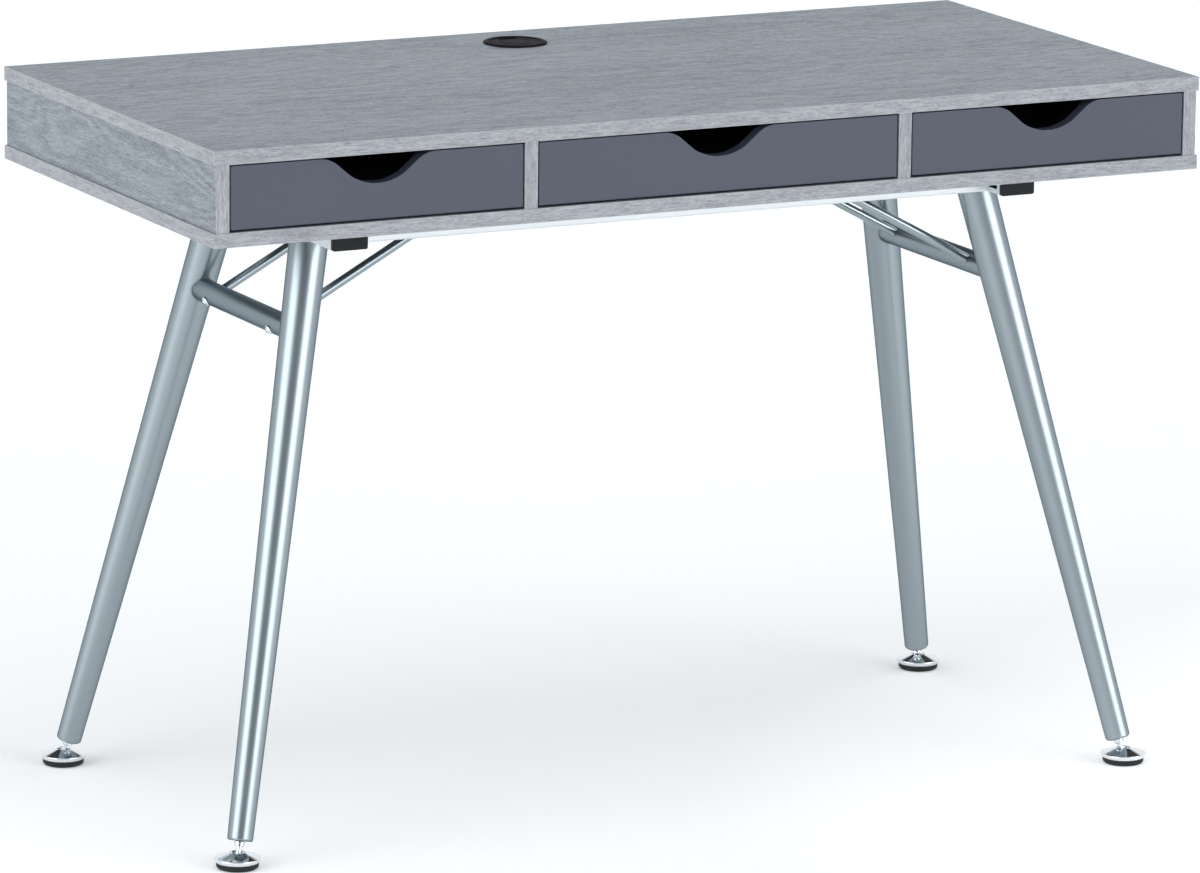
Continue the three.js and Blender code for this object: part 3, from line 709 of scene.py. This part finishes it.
class DESK_OT_grommet(DeskStep, bpy.types.Operator):
    """Cable grommet: a sleeve with a rounded rim, and a turning cap with a cable slot"""

    bl_idname = "desk.grommet"
    bl_label = "Cable grommet"

    def execute(self, context):
        tone = context.scene.desk_plastic.grommet
        plastic = moulded("grommet_plastic", tone, 0.3, 0.42, grain=900, shine=0.004)
        top = sizes("top_panel")[1].z
        low, high = sizes("grommet_sleeve")
        centre = Vector(((low.x + high.x) / 2, (low.y + high.y) / 2, 0))
        rim = (high.x - low.x) / 2
        cap_edge = GROMMET_CAP_RADIUS
        seat = top - 0.7 * MM
        base = top + 0.1 * MM
        sleeve = turned("grommet_rim", [
            (rim, base),
            *arc((rim - 0.9 * MM, base + 0.8 * MM), 0.9 * MM, 0, 40, 3),
            *arc((rim - 3 * MM, high.z - 3.2 * MM), 3.2 * MM, 52, 90, 5),
            *arc((cap_edge + 1.3 * MM, high.z - 0.9 * MM), 0.9 * MM, 90, 180, 5),
            (cap_edge + 0.4 * MM, seat),
            (cap_edge - 2.2 * MM, seat),
            (cap_edge - 2.2 * MM, seat - 2 * MM),
            (cap_edge - 0.2 * MM, seat - 4 * MM),
            (cap_edge - 0.2 * MM, low.z),
            (GROMMET_HOLE_RADIUS - 0.6 * MM, low.z),
            (GROMMET_HOLE_RADIUS - 0.6 * MM, base),
            (rim, base),
        ], ROUND_STEPS)
        stand(sleeve, centre, Z)
        finish(sleeve, "desk", [plastic], ("grommet_sleeve",))

        crown = sizes("grommet_cap")[1].z
        disc = turned("grommet_lid", [
            (0, seat + 0.1 * MM),
            (cap_edge - 0.4 * MM, seat + 0.1 * MM),
            (cap_edge, seat + 0.5 * MM),
            *arc((cap_edge - 0.7 * MM, crown - 0.7 * MM), 0.7 * MM, 0, 90, 4),
            (cap_edge - 1.6 * MM, crown),
            (cap_edge - 2.4 * MM, crown - 0.5 * MM),
            (cap_edge - 9 * MM, crown - 0.5 * MM),
            (cap_edge - 9.5 * MM, crown - 0.2 * MM),
            (cap_edge - 10.5 * MM, crown - 0.2 * MM),
            (cap_edge - 11 * MM, crown - 0.5 * MM),
            (0, crown - 0.35 * MM),
        ], ROUND_STEPS)
        slot = block("slot", (-CABLE_SLOT_WIDTH / 2, cap_edge - CABLE_SLOT_DEPTH, top - 5 * MM),
                     (CABLE_SLOT_WIDTH / 2, 2 * cap_edge, top + 5 * MM))
        near = cap_edge - CABLE_SLOT_DEPTH + 0.1 * MM
        round_edges(slot, lambda edge: runs_along(edge, Z) and middle_of(edge).y < near, 5 * MM, 8)
        cut(disc, slot)
        stand(disc, centre, Z)
        finish(disc, "grommet_cap", [plastic], ("grommet_cap",), angle=30)
        return self.done([sleeve, disc])


def scooped_front(bay):
    """A lacquered front: a trapezium cut from its top edge, its shoulders and floor rounded."""
    low, high = sizes(f"{bay}_drawer_front")
    middle = (low.x + high.x) / 2
    front = block(f"{bay}_front_board", low, high)
    shoulder = SCOOP_SHOULDER_RADIUS * math.tan(SCOOP_SLOPE / 2)
    bottom = SCOOP_FLOOR_RADIUS * math.tan(SCOOP_SLOPE / 2)
    top_half = SCOOP_HALF_WIDTH - shoulder
    floor_half = top_half - SCOOP_DEPTH / math.tan(SCOOP_SLOPE)
    floor = high.z - SCOOP_DEPTH
    cutter = block("cutter", (middle - top_half, low.y - CUT_MARGIN, floor),
                   (middle + top_half, high.y + CUT_MARGIN, high.z))
    with editing(cutter) as mesh:
        pick(cutter, mesh.faces, lambda face: face.normal.z < -0.5)
        bpy.ops.transform.resize(value=(floor_half / top_half, 1, 1), center_override=(middle, 0, floor))
        bpy.ops.mesh.select_all(action="DESELECT")
        pick(cutter, mesh.faces, lambda face: face.normal.z > 0.5)
        extrude_by((0, 0, CUT_MARGIN))
    cut(front, cutter)
    for half, z, width, segments in ((floor_half, floor, bottom, 20), (top_half, high.z, shoulder, 14),
                                     (high.x - middle, high.z, FRONT_CORNER, 4),
                                     (high.x - middle, low.z, FRONT_CORNER, 4)):
        round_edges(front, lambda edge: runs_along(edge, Y) and abs(middle_of(edge).z - z) < 0.1 * MM
                    and abs(abs(middle_of(edge).x - middle) - half) < 0.1 * MM, width, segments)
    soften(front, bpy.context.scene.desk_drawer.softening, segments=3)
    return front


class DESK_OT_drawers(DeskStep, bpy.types.Operator):
    """Drawers: scooped lacquered fronts on foiled boxes with hardboard bases"""

    bl_idname = "desk.drawers"
    bl_label = "Drawers"

    def execute(self, context):
        tones = context.scene.desk_drawer
        slate = lacquer("slate_lacquer", tones.front)
        grey = foil("drawer_foil", tones.box)
        base_paint = hardboard("drawer_hardboard", tones.base)
        pieces = []
        for bay in BAYS:
            body = f"{bay}_drawer"
            front = scooped_front(bay)
            pieces.append(finish(front, body, [slate], (f"{bay}_drawer_front",), angle=30))
            for part, material, slot in (("left_side", grey, "drawer_board"),
                                         ("right_side", grey, "drawer_board"),
                                         ("back", grey, "drawer_board"),
                                         ("base", base_paint, "drawer_hardboard")):
                node = f"{bay}_drawer_{part}"
                piece = copy_of(node, f"{bay}_{part}_board")
                soften(piece, 0.4 * MM)
                pieces.append(finish(piece, body, [material], (node,)))
        return self.done(pieces)


class DESK_OT_runners(DeskStep, bpy.types.Operator):
    """Drawer runners: nylon strips with tapered leading ends"""

    bl_idname = "desk.runners"
    bl_label = "Drawer runners"

    def execute(self, context):
        nylon = moulded("runner_nylon", context.scene.desk_plastic.nylon, 0.4, 0.5, grain=700)
        pieces = []
        for bay in BAYS:
            for side, _ in SIDES:
                node = f"{bay}_bay_{side}_runner"
                low, high = sizes(node)
                piece = block(f"{bay}_{side}_runner_strip", low, high)
                with editing(piece) as mesh:
                    pick(piece, mesh.faces, lambda face: face.normal.y < -0.5)
                    centre = ((low.x + high.x) / 2, low.y, (low.z + high.z) / 2)
                    bpy.ops.transform.resize(value=(1, 1, 0.55), center_override=centre)
                soften(piece, 0.6 * MM)
                pieces.append(finish(piece, "desk", [nylon], (node,)))
        return self.done(pieces)


def square_tube(name, low, high, axis):
    """A rounded rectangular tube, open at both ends."""
    piece = block(name, low, high)
    round_edges(piece, lambda edge: runs_along(edge, axis), TUBE_CORNER, 6)
    with editing(piece) as mesh:
        pick(piece, mesh.faces, lambda face: abs(face.normal.dot(axis)) > 0.9)
        bpy.ops.mesh.delete(type="FACE")
    modify(piece, "SOLIDIFY", thickness=TUBE_WALL, offset=-1)
    return piece


def pan_screw(name, place, up, radius=4.2 * MM, height=2.2 * MM):
    """A pan-head screw with a cross recess, its head under the surface that it holds."""
    screw = turned(name, [
        (0, -height),
        (radius * 0.5, -height * 0.96),
        *arc((radius * 0.62, -height * 0.45), height * 0.52, -80, 0, 4),
        (radius * 0.62 + height * 0.52, 0),
        (1.9 * MM, 0),
        (1.9 * MM, 6 * MM),
        (0, 6 * MM),
    ], steps=32)
    for turn in (0, 90):
        blade = block("blade", (-radius * 0.5, -0.4 * MM, -height - MM),
                      (radius * 0.5, 0.4 * MM, -height * 0.35))
        blade.rotation_euler.z = math.radians(turn)
        settle(blade)
        cut(screw, blade)
    stand(screw, place, up)
    return screw


class DESK_OT_bearers(DeskStep, bpy.types.Operator):
    """Bearers and rails: rounded rectangular tubes, their black end caps and fixing screws"""

    bl_idname = "desk.bearers"
    bl_label = "Bearers, rails and caps"

    def execute(self, context):
        zinc = zinc_plate()
        rail_paint = metal_paint("rail_paint", context.scene.desk_metal.rail, 0.38, 0.46, metallic=0.6)
        black = moulded("cap_plastic", context.scene.desk_plastic.black, 0.36, 0.5, grain=1100, shine=0.2)
        pieces = []
        for side, sx in SIDES:
            node = f"{side}_bearer"
            low, high = sizes(node)
            tube = square_tube(f"{side}_bearer_tube", low, high, Y)
            inner = low.x if sx > 0 else high.x
            for _, sy in ENDS:
                y0, y1 = sorted((sy * SLOT_START_Y, sy * (SLOT_START_Y + SLOT_LENGTH)))
                z0 = low.z + SLOT_LIFT
                cutter = block("slot", (inner - 4 * MM, y0, z0), (inner + 4 * MM, y1, z0 + SLOT_HEIGHT))
                round_edges(cutter, lambda edge: runs_along(edge, X), SLOT_HEIGHT * 0.45, 6)
                cut(tube, cutter)
            pieces.append(finish(tube, "desk", [rail_paint], (node,)))
            for index, y in enumerate(BEARER_SCREWS_Y):
                screw = pan_screw(f"{side}_bearer_screw_{index}", ((low.x + high.x) / 2, y, low.z), Z)
                pieces.append(finish(screw, "desk", [zinc]))
        for end, _ in ENDS:
            node = f"{end}_rail"
            tube = square_tube(f"{end}_rail_tube", *sizes(node), X)
            pieces.append(finish(tube, "desk", [rail_paint], (node,)))
        for corner, _, sy in CORNERS:
            pieces.append(self.tube_cap(corner, sy, black))
        return self.done(pieces)

    @staticmethod
    def tube_cap(corner, sy, black):
        """A flange as big as the tube, with a plug that goes into it."""
        node = f"{corner}_tube_cap"
        low, high = sizes(node)
        face = low.y if sy < 0 else high.y
        seat = sizes(f"{corner.split('_')[0]}_bearer")[0 if sy < 0 else 1].y
        y0, y1 = sorted((face, seat))
        piece = block(f"{corner}_end_cap", (low.x, y0, low.z), (high.x, y1, high.z))
        round_edges(piece, lambda edge: runs_along(edge, Y), TUBE_CORNER, 6)
        with editing(piece) as mesh:
            pick(piece, mesh.faces, lambda found: found.normal.y * sy < -0.9)
            bpy.ops.mesh.inset(thickness=TUBE_WALL + 0.2 * MM)
            extrude_by((0, -sy * CAP_PLUG, 0))
        round_edges(piece, lambda edge: all(abs(vert.co.y - face) < 0.01 * MM for vert in edge.verts),
                    CAP_ROUNDING, 4)
        return finish(piece, "desk", [black], (node,))


# --- Legs and cross tubes


def ball_of(corner):
    return Vector(JOINTS[f"{corner}_foot_tilt"]["pos_m"])


def up_the_leg(corner):
    return -Vector(JOINTS[f"{corner}_foot_screw"]["axis"]).normalized()


def on_leg_axis(corner, height):
    ball, up = ball_of(corner), up_the_leg(corner)
    return ball + up * ((height - ball.z) / up.z)


def leg_radius(height):
    case_floor = sizes("bottom_panel")[0].z
    return LEG_FLOOR_RADIUS + (LEG_TOP_RADIUS - LEG_FLOOR_RADIUS) * height / case_floor


def leg_taper(name, corner, low, high, grow=0.0):
    """A taper on a leg's axis between two heights, the leg's own size or a little more."""
    facets = bpy.context.scene.desk_metal.facets
    return bar(name, leg_radius(low) + grow, on_leg_axis(corner, low), on_leg_axis(corner, high), facets,
               far_radius=leg_radius(high) + grow)


class DESK_OT_legs(DeskStep, bpy.types.Operator):
    """Legs: long tapered tubes with a rolled lower end, trimmed level under the bearers"""

    bl_idname = "desk.legs"
    bl_label = "Legs"

    def execute(self, context):
        silver = silver_paint()
        pieces = []
        under_bearer = sizes("left_bearer")[0].z
        for corner, _, _ in CORNERS:
            node = f"{corner}_leg"
            leg = leg_taper(f"{corner}_tapered_leg", corner, LEG_END_HEIGHT, under_bearer + LEG_SPARE)
            end, up = on_leg_axis(corner, LEG_END_HEIGHT), up_the_leg(corner)
            with editing(leg) as mesh:
                pick(leg, mesh.faces, lambda face: face.normal.dot(up) < -0.9)
                bpy.ops.mesh.inset(thickness=leg_radius(LEG_END_HEIGHT) - LEG_BORE)
                extrude_by(up * LEG_RECESS)
            rim = leg_radius(LEG_END_HEIGHT)
            round_edges(leg, lambda edge: all(
                abs((vert.co - end).dot(up)) < 0.05 * MM and (vert.co - end).length > rim * 0.9
                for vert in edge.verts), LEG_END_ROUNDING, 6)
            with editing(leg) as mesh:
                bpy.ops.mesh.select_all(action="SELECT")
                bpy.ops.mesh.bisect(plane_co=(0, 0, under_bearer - WELD_GAP), plane_no=(0, 0, 1),
                                    use_fill=True, clear_outer=True)
            pieces.append(finish(leg, "desk", [silver], (node,)))
        return self.done(pieces)


def saddle_bead(name, corner, sy, centre, radius):
    """A weld bead along the curve where a cross tube meets a leg."""
    points = []
    leg_point, up = on_leg_axis(corner, centre.z), up_the_leg(corner)
    for step in range(WELD_POINTS):
        angle = 2 * math.pi * step / WELD_POINTS
        start = centre + Vector((radius * math.cos(angle), 0, radius * math.sin(angle)))
        y = 0.0
        for _ in range(40):  # step outwards until the point lies on the leg
            offset = start + Vector((0, y, 0)) - leg_point
            gap = (offset - up * offset.dot(up)).length - leg_radius(start.z) - 0.2 * MM
            y += sy * gap * 0.8
        points.append(start + Vector((0, y, 0)))
    curve = bpy.data.curves.new(name, "CURVE")
    curve.dimensions = "3D"
    curve.bevel_depth = WELD_RADIUS
    curve.bevel_resolution = 3
    spline = curve.splines.new("POLY")
    spline.points.add(WELD_POINTS - 1)
    for point, place in zip(spline.points, points):
        point.co = (*place, 1)
    spline.use_cyclic_u = True
    bead = bpy.data.objects.new(name, curve)
    bpy.context.collection.objects.link(bead)
    take_up(bead)
    bpy.ops.object.convert(target="MESH")
    return newly_made(name)


class DESK_OT_cross_tubes(DeskStep, bpy.types.Operator):
    """Cross tubes: round tubes coped and welded between a front leg and a back leg"""

    bl_idname = "desk.cross_tubes"
    bl_label = "Cross tubes"

    def execute(self, context):
        metal = context.scene.desk_metal
        silver = silver_paint()
        bead_paint = weld_metal("weld_bead", metal.silver)
        pieces = []
        for side, _ in SIDES:
            node = f"{side}_cross_tube"
            low, high = sizes(node)
            centre, radius = (low + high) / 2, (high.z - low.z) / 2
            reach = abs(on_leg_axis(f"{side}_back", centre.z).y)
            tube = bar(f"{side}_round_tube", radius, centre - Y * reach, centre + Y * reach, metal.facets)
            below, above = centre.z - COPING_REACH, centre.z + COPING_REACH
            for end, _ in ENDS:
                cut(tube, leg_taper("coping", f"{side}_{end}", below, above, 0.1 * MM))
            pieces.append(finish(tube, "desk", [silver], (node,)))
            for end, sy in ENDS:
                bead = saddle_bead(f"{side}_{end}_weld", f"{side}_{end}", sy, centre, radius)
                pieces.append(finish(bead, "desk", [bead_paint], angle=60))
        return self.done(pieces)


class DESK_OT_braces(DeskStep, bpy.types.Operator):
    """Braces: thin rods bolted through the cross tubes, flattened and screwed under the case"""

    bl_idname = "desk.braces"
    bl_label = "Braces and bolts"

    def execute(self, context):
        metal = context.scene.desk_metal
        zinc = plated("brace_plate", metal.silver, 0.16, 0.26)
        bolt_plate = zinc_plate()
        pieces = []
        for corner, sx, sy in CORNERS:
            side = corner.split("_")[0]
            low, high = sizes(f"{side}_cross_tube")
            start = Vector(((low.x + high.x) / 2, sy * BRACE_Y, (low.z + high.z) / 2))
            tube_radius = (high.z - low.z) / 2
            way = Vector((-sx * math.cos(BRACE_ANGLE), 0, math.sin(BRACE_ANGLE)))
            rod = self.flattened_rod(f"{corner}_brace_rod", start, way, sx)
            reach = Y * BRACE_SEAT_REACH
            cut(rod, bar("seat", tube_radius + WELD_GAP, start - reach, start + reach, ROUND_STEPS))
            finish(rod, "desk", [zinc], (f"{corner}_brace",))
            bolt = self.dome_bolt(f"{corner}_brace_bolt", start - way * tube_radius, way, tube_radius)
            finish(bolt, "desk", [bolt_plate])
            tab_low, tab_high = sizes(f"{corner}_brace")
            tab_end = tab_low.x if sx > 0 else tab_high.x
            place = (tab_end + sx * BRACE_SCREW_INSET, start.y, tab_high.z - BRACE_TAB_THICKNESS)
            screw = pan_screw(f"{corner}_brace_screw", place, Z)
            finish(screw, "desk", [bolt_plate])
            pieces += [rod, bolt, screw]
        return self.done(pieces)

    @staticmethod
    def flattened_rod(name, start, way, sx):
        """A rod whose far end is pressed flat against the case."""
        case_floor = sizes("bottom_panel")[0].z
        tab_top = case_floor - 0.1 * MM
        tab_middle = tab_top - BRACE_TAB_THICKNESS / 2
        neck = (tab_middle - start.z - BRACE_NECK) / way.z
        rod = bar(name, BRACE_RADIUS, start, start + way * neck, 48)

        def at_end(face, point, normal):
            return face.normal.dot(normal) > 0.9 and (face.calc_center_median() - point).length < MM

        bend = Vector((start.x + way.x * (neck + BRACE_BEND), start.y, tab_middle))
        end = start + way * neck
        with editing(rod) as mesh:
            pick(rod, mesh.faces, lambda face: at_end(face, end, way))
            first = (bend - end) * 0.55
            extrude_by(first)
            bpy.ops.transform.resize(value=(1, 1.25, 0.62), center_override=end + first)
            extrude_by((bend - end) * 0.45)
            bpy.ops.transform.resize(value=(0.6, 1.28, 0.52), center_override=bend)
            for _ in range(2):
                extrude_by((-sx * BRACE_TAB_STEP, 0, 0))
        return rod

    @staticmethod
    def dome_bolt(name, place, way, tube_radius):
        """A domed bolt head with a hexagon socket, its shank along the brace."""
        head = BOLT_HEAD_RADIUS
        tall = BOLT_HEAD_HEIGHT
        bolt = turned(name, [
            (0, -tall),
            (head * 0.30, -tall),
            *arc((0, tall * 0.9), head * 1.18, -72, -34, 7),
            (head, -0.5 * MM),
            (head, -0.15 * MM),
            (3 * MM, -0.15 * MM),
            (3 * MM, 2 * tube_radius + 6 * MM),
            (0, 2 * tube_radius + 6 * MM),
        ], steps=48)
        cut(bolt, bar("socket", 1.9 * MM, (0, 0, -tall - MM), (0, 0, -tall + 1.8 * MM), 6))
        stand(bolt, place - way * 0.1 * MM, way)
        return bolt


class DESK_OT_feet(DeskStep, bpy.types.Operator):
    """Levelling feet: threaded studs, polished swivel cups and rubber pads"""

    bl_idname = "desk.feet"
    bl_label = "Levelling feet"

    def execute(self, context):
        zinc = zinc_plate()
        chrome = plated("chrome_plate", context.scene.desk_metal.chrome, 0.05, 0.09)
        tone = context.scene.desk_plastic.rubber
        rubber = moulded("pad_rubber", tone, 0.55, 0.75, grain=600, depth=0.05 * MM)
        pieces = []
        for corner, _, _ in CORNERS:
            ball, up = ball_of(corner), up_the_leg(corner)
            stud = turned(f"{corner}_stud", self.stud_profile(corner), steps=48)
            stand(stud, ball, up)
            finish(stud, f"{corner}_stud", [zinc], (f"{corner}_foot_stud",))
            cup = turned(f"{corner}_cup", self.cup_profile(ball.z), ROUND_STEPS)
            stand(cup, (ball.x, ball.y, 0), Z)
            finish(cup, f"{corner}_glide", [chrome], (f"{corner}_foot_cup",), angle=30)
            pad = turned(f"{corner}_pad", self.pad_profile(), ROUND_STEPS)
            stand(pad, (ball.x, ball.y, 0), Z)
            finish(pad, f"{corner}_glide", [rubber], (f"{corner}_foot_pad",), angle=30)
            pieces += [stud, cup, pad]
        return self.done(pieces)

    @staticmethod
    def stud_profile(corner):
        """Ball, neck, collar and a shank with thread ridges; heights up the leg from the ball."""
        collar_top = (on_leg_axis(corner, LEG_END_HEIGHT) - ball_of(corner)).length - WELD_GAP
        collar_low = collar_top - COLLAR_LENGTH
        neck_angle = math.degrees(math.acos(NECK_RADIUS / BALL_RADIUS))
        profile = [
            (0, BALL_RADIUS * math.sin(math.radians(BALL_FLAT))),
            *arc((0, 0), BALL_RADIUS, BALL_FLAT, neck_angle, 14),
            (NECK_RADIUS, collar_low),
            (COLLAR_RADIUS - 0.6 * MM, collar_low),
            (COLLAR_RADIUS, collar_low + 0.6 * MM),
            (COLLAR_RADIUS, collar_top - 0.6 * MM),
            (COLLAR_RADIUS - 0.6 * MM, collar_top),
        ]
        pitch = SHANK_LENGTH / SHANK_TURNS
        for turn in range(SHANK_TURNS):
            base = collar_top + turn * pitch
            profile += [(SHANK_RADIUS - 0.5 * MM, base + 0.1 * pitch), (SHANK_RADIUS, base + 0.5 * pitch)]
        profile += [(SHANK_RADIUS - 0.5 * MM, collar_top + SHANK_LENGTH), (0, collar_top + SHANK_LENGTH)]
        return profile

    @staticmethod
    def cup_profile(ball_height):
        """Pressed cup: cone, rolled rim, tapering skirt and the ball's socket inside."""
        socket = BALL_RADIUS + 0.25 * MM
        lip = BALL_RADIUS - 0.6 * MM
        mouth = math.degrees(math.acos(lip / socket))
        rim = CUP_RADIUS
        return [
            (socket, ball_height),
            (socket + 2.4 * MM, ball_height),
            (socket + 2.4 * MM, 14.6 * MM),
            (rim - 2.6 * MM, 9.7 * MM),
            (rim - 3.5 * MM, 6.9 * MM),
            (rim - 2 * MM, 6.9 * MM),
            (rim - 0.9 * MM, 8.4 * MM),
            (rim - 0.35 * MM, 9.8 * MM),
            *arc((rim - 1.1 * MM, 10.8 * MM), 1.1 * MM, -10, 70, 8),
            (rim - 3.2 * MM, 12.45 * MM),
            (CUP_HOLE_RADIUS + 1.2 * MM, CUP_HEIGHT - 0.4 * MM),
            *arc((CUP_HOLE_RADIUS + 0.5 * MM, CUP_HEIGHT - 0.5 * MM), 0.5 * MM, 75, 180, 5),
            *arc((0, ball_height), socket, mouth, 0, 6),
        ]

    @staticmethod
    def pad_profile():
        """Pad with a ring groove in its tread and a hollow for the ball."""
        hollow = BALL_RADIUS + 3.6 * MM
        rim = PAD_RADIUS
        return [
            (0, 0),
            (rim - 6 * MM, 0),
            (rim - 5.6 * MM, 0.5 * MM),
            (rim - 4.8 * MM, 0.5 * MM),
            (rim - 4.4 * MM, 0),
            (rim - 3.6 * MM, 0),
            *arc((rim - 3.6 * MM, 3.6 * MM), 3.6 * MM, -80, -6, 8),
            (rim, 6.6 * MM),
            (rim - 2 * MM, 6.6 * MM),
            (rim - 2 * MM, 9 * MM),
            (hollow, 9 * MM),
            (hollow, 1.2 * MM),
            (0, 1.2 * MM),
        ]


# --- Stage


def pool_of_light(recipe, x, y, reach, strength):
    """A round pool of painted light glowing in the floor, brightest in its middle."""
    pool = recipe.nodes.new("ShaderNodeTexGradient")
    pool.gradient_type = "SPHERICAL"
    place = recipe.mapped((1 / reach, 1 / reach, 0), (-x / reach, -y / reach, 0))
    recipe.links.new(place, pool.inputs["Vector"])
    return recipe.math("MULTIPLY", pool.outputs["Fac"], strength)


class DESK_OT_stage(DeskStep, bpy.types.Operator):
    """Studio: pale floor, soft light from the left and the right, and the camera"""

    bl_idname = "desk.stage"
    bl_label = "Studio and camera"

    def execute(self, context):
        scene = context.scene
        settings = scene.desk_stage
        scene.view_settings.view_transform = "Standard"
        camera = bpy.data.objects.new("camera", bpy.data.cameras.new("camera"))
        scene.collection.objects.link(camera)
        camera.location = CAMERA_PLACE
        camera.rotation_euler = [math.radians(angle) for angle in CAMERA_TURN]
        camera.data.lens = CAMERA_LENS
        camera.data.clip_end = 100
        scene.camera = camera

        bpy.ops.object.select_all(action="DESELECT")
        bpy.ops.mesh.primitive_plane_add(size=FLOOR_SIZE, location=(0, 0, -FLOOR_DROP))
        floor = newly_made("floor")
        with editing(floor):
            bpy.ops.mesh.select_all(action="SELECT")
            bpy.ops.mesh.subdivide(number_cuts=3)
        floor.data.materials.append(self.floor_paint(settings.floor))

        self.surroundings(scene, settings)
        return {"FINISHED"}

    @staticmethod
    def floor_paint(tone):
        """Pale paint that glows evenly and in painted pools of light, clear from below so that the desk's
        underside can be looked at.
        """
        recipe = Recipe("floor_paint", roughness=0.9)
        cloud = recipe.noise((0.7, 0.7, 0.7), detail=2)
        recipe.mottle(cloud, tone, 0.99, 1.0)
        recipe.shader.inputs["Emission Color"].default_value = (1, 1, 1, 1)
        # painted light: glowing pools mixed into the floor's emission
        glowing_pools = recipe.math("ADD", *(pool_of_light(recipe, *pool) for pool in FLOOR_LIGHT_POOLS))
        recipe.links.new(recipe.math("ADD", glowing_pools, FLOOR_GLOW), recipe.shader.inputs["Emission Strength"])
        clear = recipe.nodes.new("ShaderNodeBsdfTransparent")
        sides = recipe.nodes.new("ShaderNodeMixShader")
        geometry = recipe.nodes.new("ShaderNodeNewGeometry")
        recipe.links.new(geometry.outputs["Backfacing"], sides.inputs["Fac"])
        recipe.links.new(recipe.shader.outputs["BSDF"], sides.inputs[1])
        recipe.links.new(clear.outputs["BSDF"], sides.inputs[2])
        recipe.links.new(sides.outputs["Shader"], recipe.output.inputs["Surface"])
        return recipe.material

    @staticmethod
    def surroundings(scene, settings):
        """A white studio with two soft panels of light, dimmer behind the camera and over the desk."""
        world = bpy.data.worlds.new("studio")
        world.use_nodes = True
        scene.world = world
        nodes, links = world.node_tree.nodes, world.node_tree.links
        way = nodes.new("ShaderNodeTexCoord").outputs["Generated"]

        def combine(operation, first, second):
            return math_node(nodes, links, operation, first, second)

        def patch(turn, rise, inner, outer):
            """1 inside a cone about a direction, falling to 0 at the outer angle."""
            angle = CAMERA_TOWARDS - math.radians(turn)
            lift = math.radians(rise)
            centre = (-math.sin(angle) * math.cos(lift), -math.cos(angle) * math.cos(lift), math.sin(lift))
            dot = nodes.new("ShaderNodeVectorMath")
            dot.operation = "DOT_PRODUCT"
            links.new(way, dot.inputs[0])
            dot.inputs[1].default_value = centre
            fade = nodes.new("ShaderNodeMapRange")
            fade.interpolation_type = "SMOOTHSTEP"
            fade.inputs["From Min"].default_value = math.cos(math.radians(outer))
            fade.inputs["From Max"].default_value = math.cos(math.radians(inner))
            links.new(dot.outputs["Value"], fade.inputs["Value"])
            return fade.outputs["Result"]

        glow = combine("MULTIPLY", patch(*LEFT_SOFTBOX), settings.left_glow)
        glow = combine("ADD", glow, combine("MULTIPLY", patch(*RIGHT_SOFTBOX), settings.right_glow))
        dimming = combine("MULTIPLY", patch(*DIM_BEHIND_CAMERA), 1 - settings.dark_zone)
        dimming = combine("ADD", dimming, combine("MULTIPLY", patch(*DIM_ABOVE_DESK), DIMMING_ABOVE_DESK))
        base = combine("MULTIPLY", combine("SUBTRACT", 1.0, dimming), settings.ambient)
        background = nodes["Background"]
        background.inputs["Color"].default_value = STUDIO_WHITE
        links.new(combine("ADD", base, glow), background.inputs["Strength"])


# --- Panel and registration

STEPS = (DESK_OT_stage, DESK_OT_case, DESK_OT_grommet, DESK_OT_drawers, DESK_OT_runners, DESK_OT_bearers,
         DESK_OT_legs, DESK_OT_cross_tubes, DESK_OT_braces, DESK_OT_feet)


class DESK_PT_steps(bpy.types.Panel):
    """Lists the steps that build the desk"""

    bl_idname = "DESK_PT_steps"
    bl_label = "Writing desk"
    bl_space_type = "VIEW_3D"
    bl_region_type = "UI"
    bl_category = "Desk"

    def draw(self, context):
        for step in STEPS:
            self.layout.operator(step.bl_idname)


CLASSES = (*GROUPS.values(), *STEPS, DESK_PT_steps)


def register():
    for cls in CLASSES:
        bpy.utils.register_class(cls)
    for name, group in GROUPS.items():
        setattr(bpy.types.Scene, name, PointerProperty(type=group))


def unregister():
    for name in GROUPS:
        delattr(bpy.types.Scene, name)
    for cls in reversed(CLASSES):
        bpy.utils.unregister_class(cls)


def main():
    register()
    bpy.ops.desk.stage()
    bpy.ops.desk.case()
    bpy.ops.desk.grommet()
    bpy.ops.desk.drawers()
    bpy.ops.desk.runners()
    bpy.ops.desk.bearers()
    bpy.ops.desk.legs()
    bpy.ops.desk.cross_tubes()
    bpy.ops.desk.braces()
    bpy.ops.desk.feet()


if __name__ == "__main__":
    main()
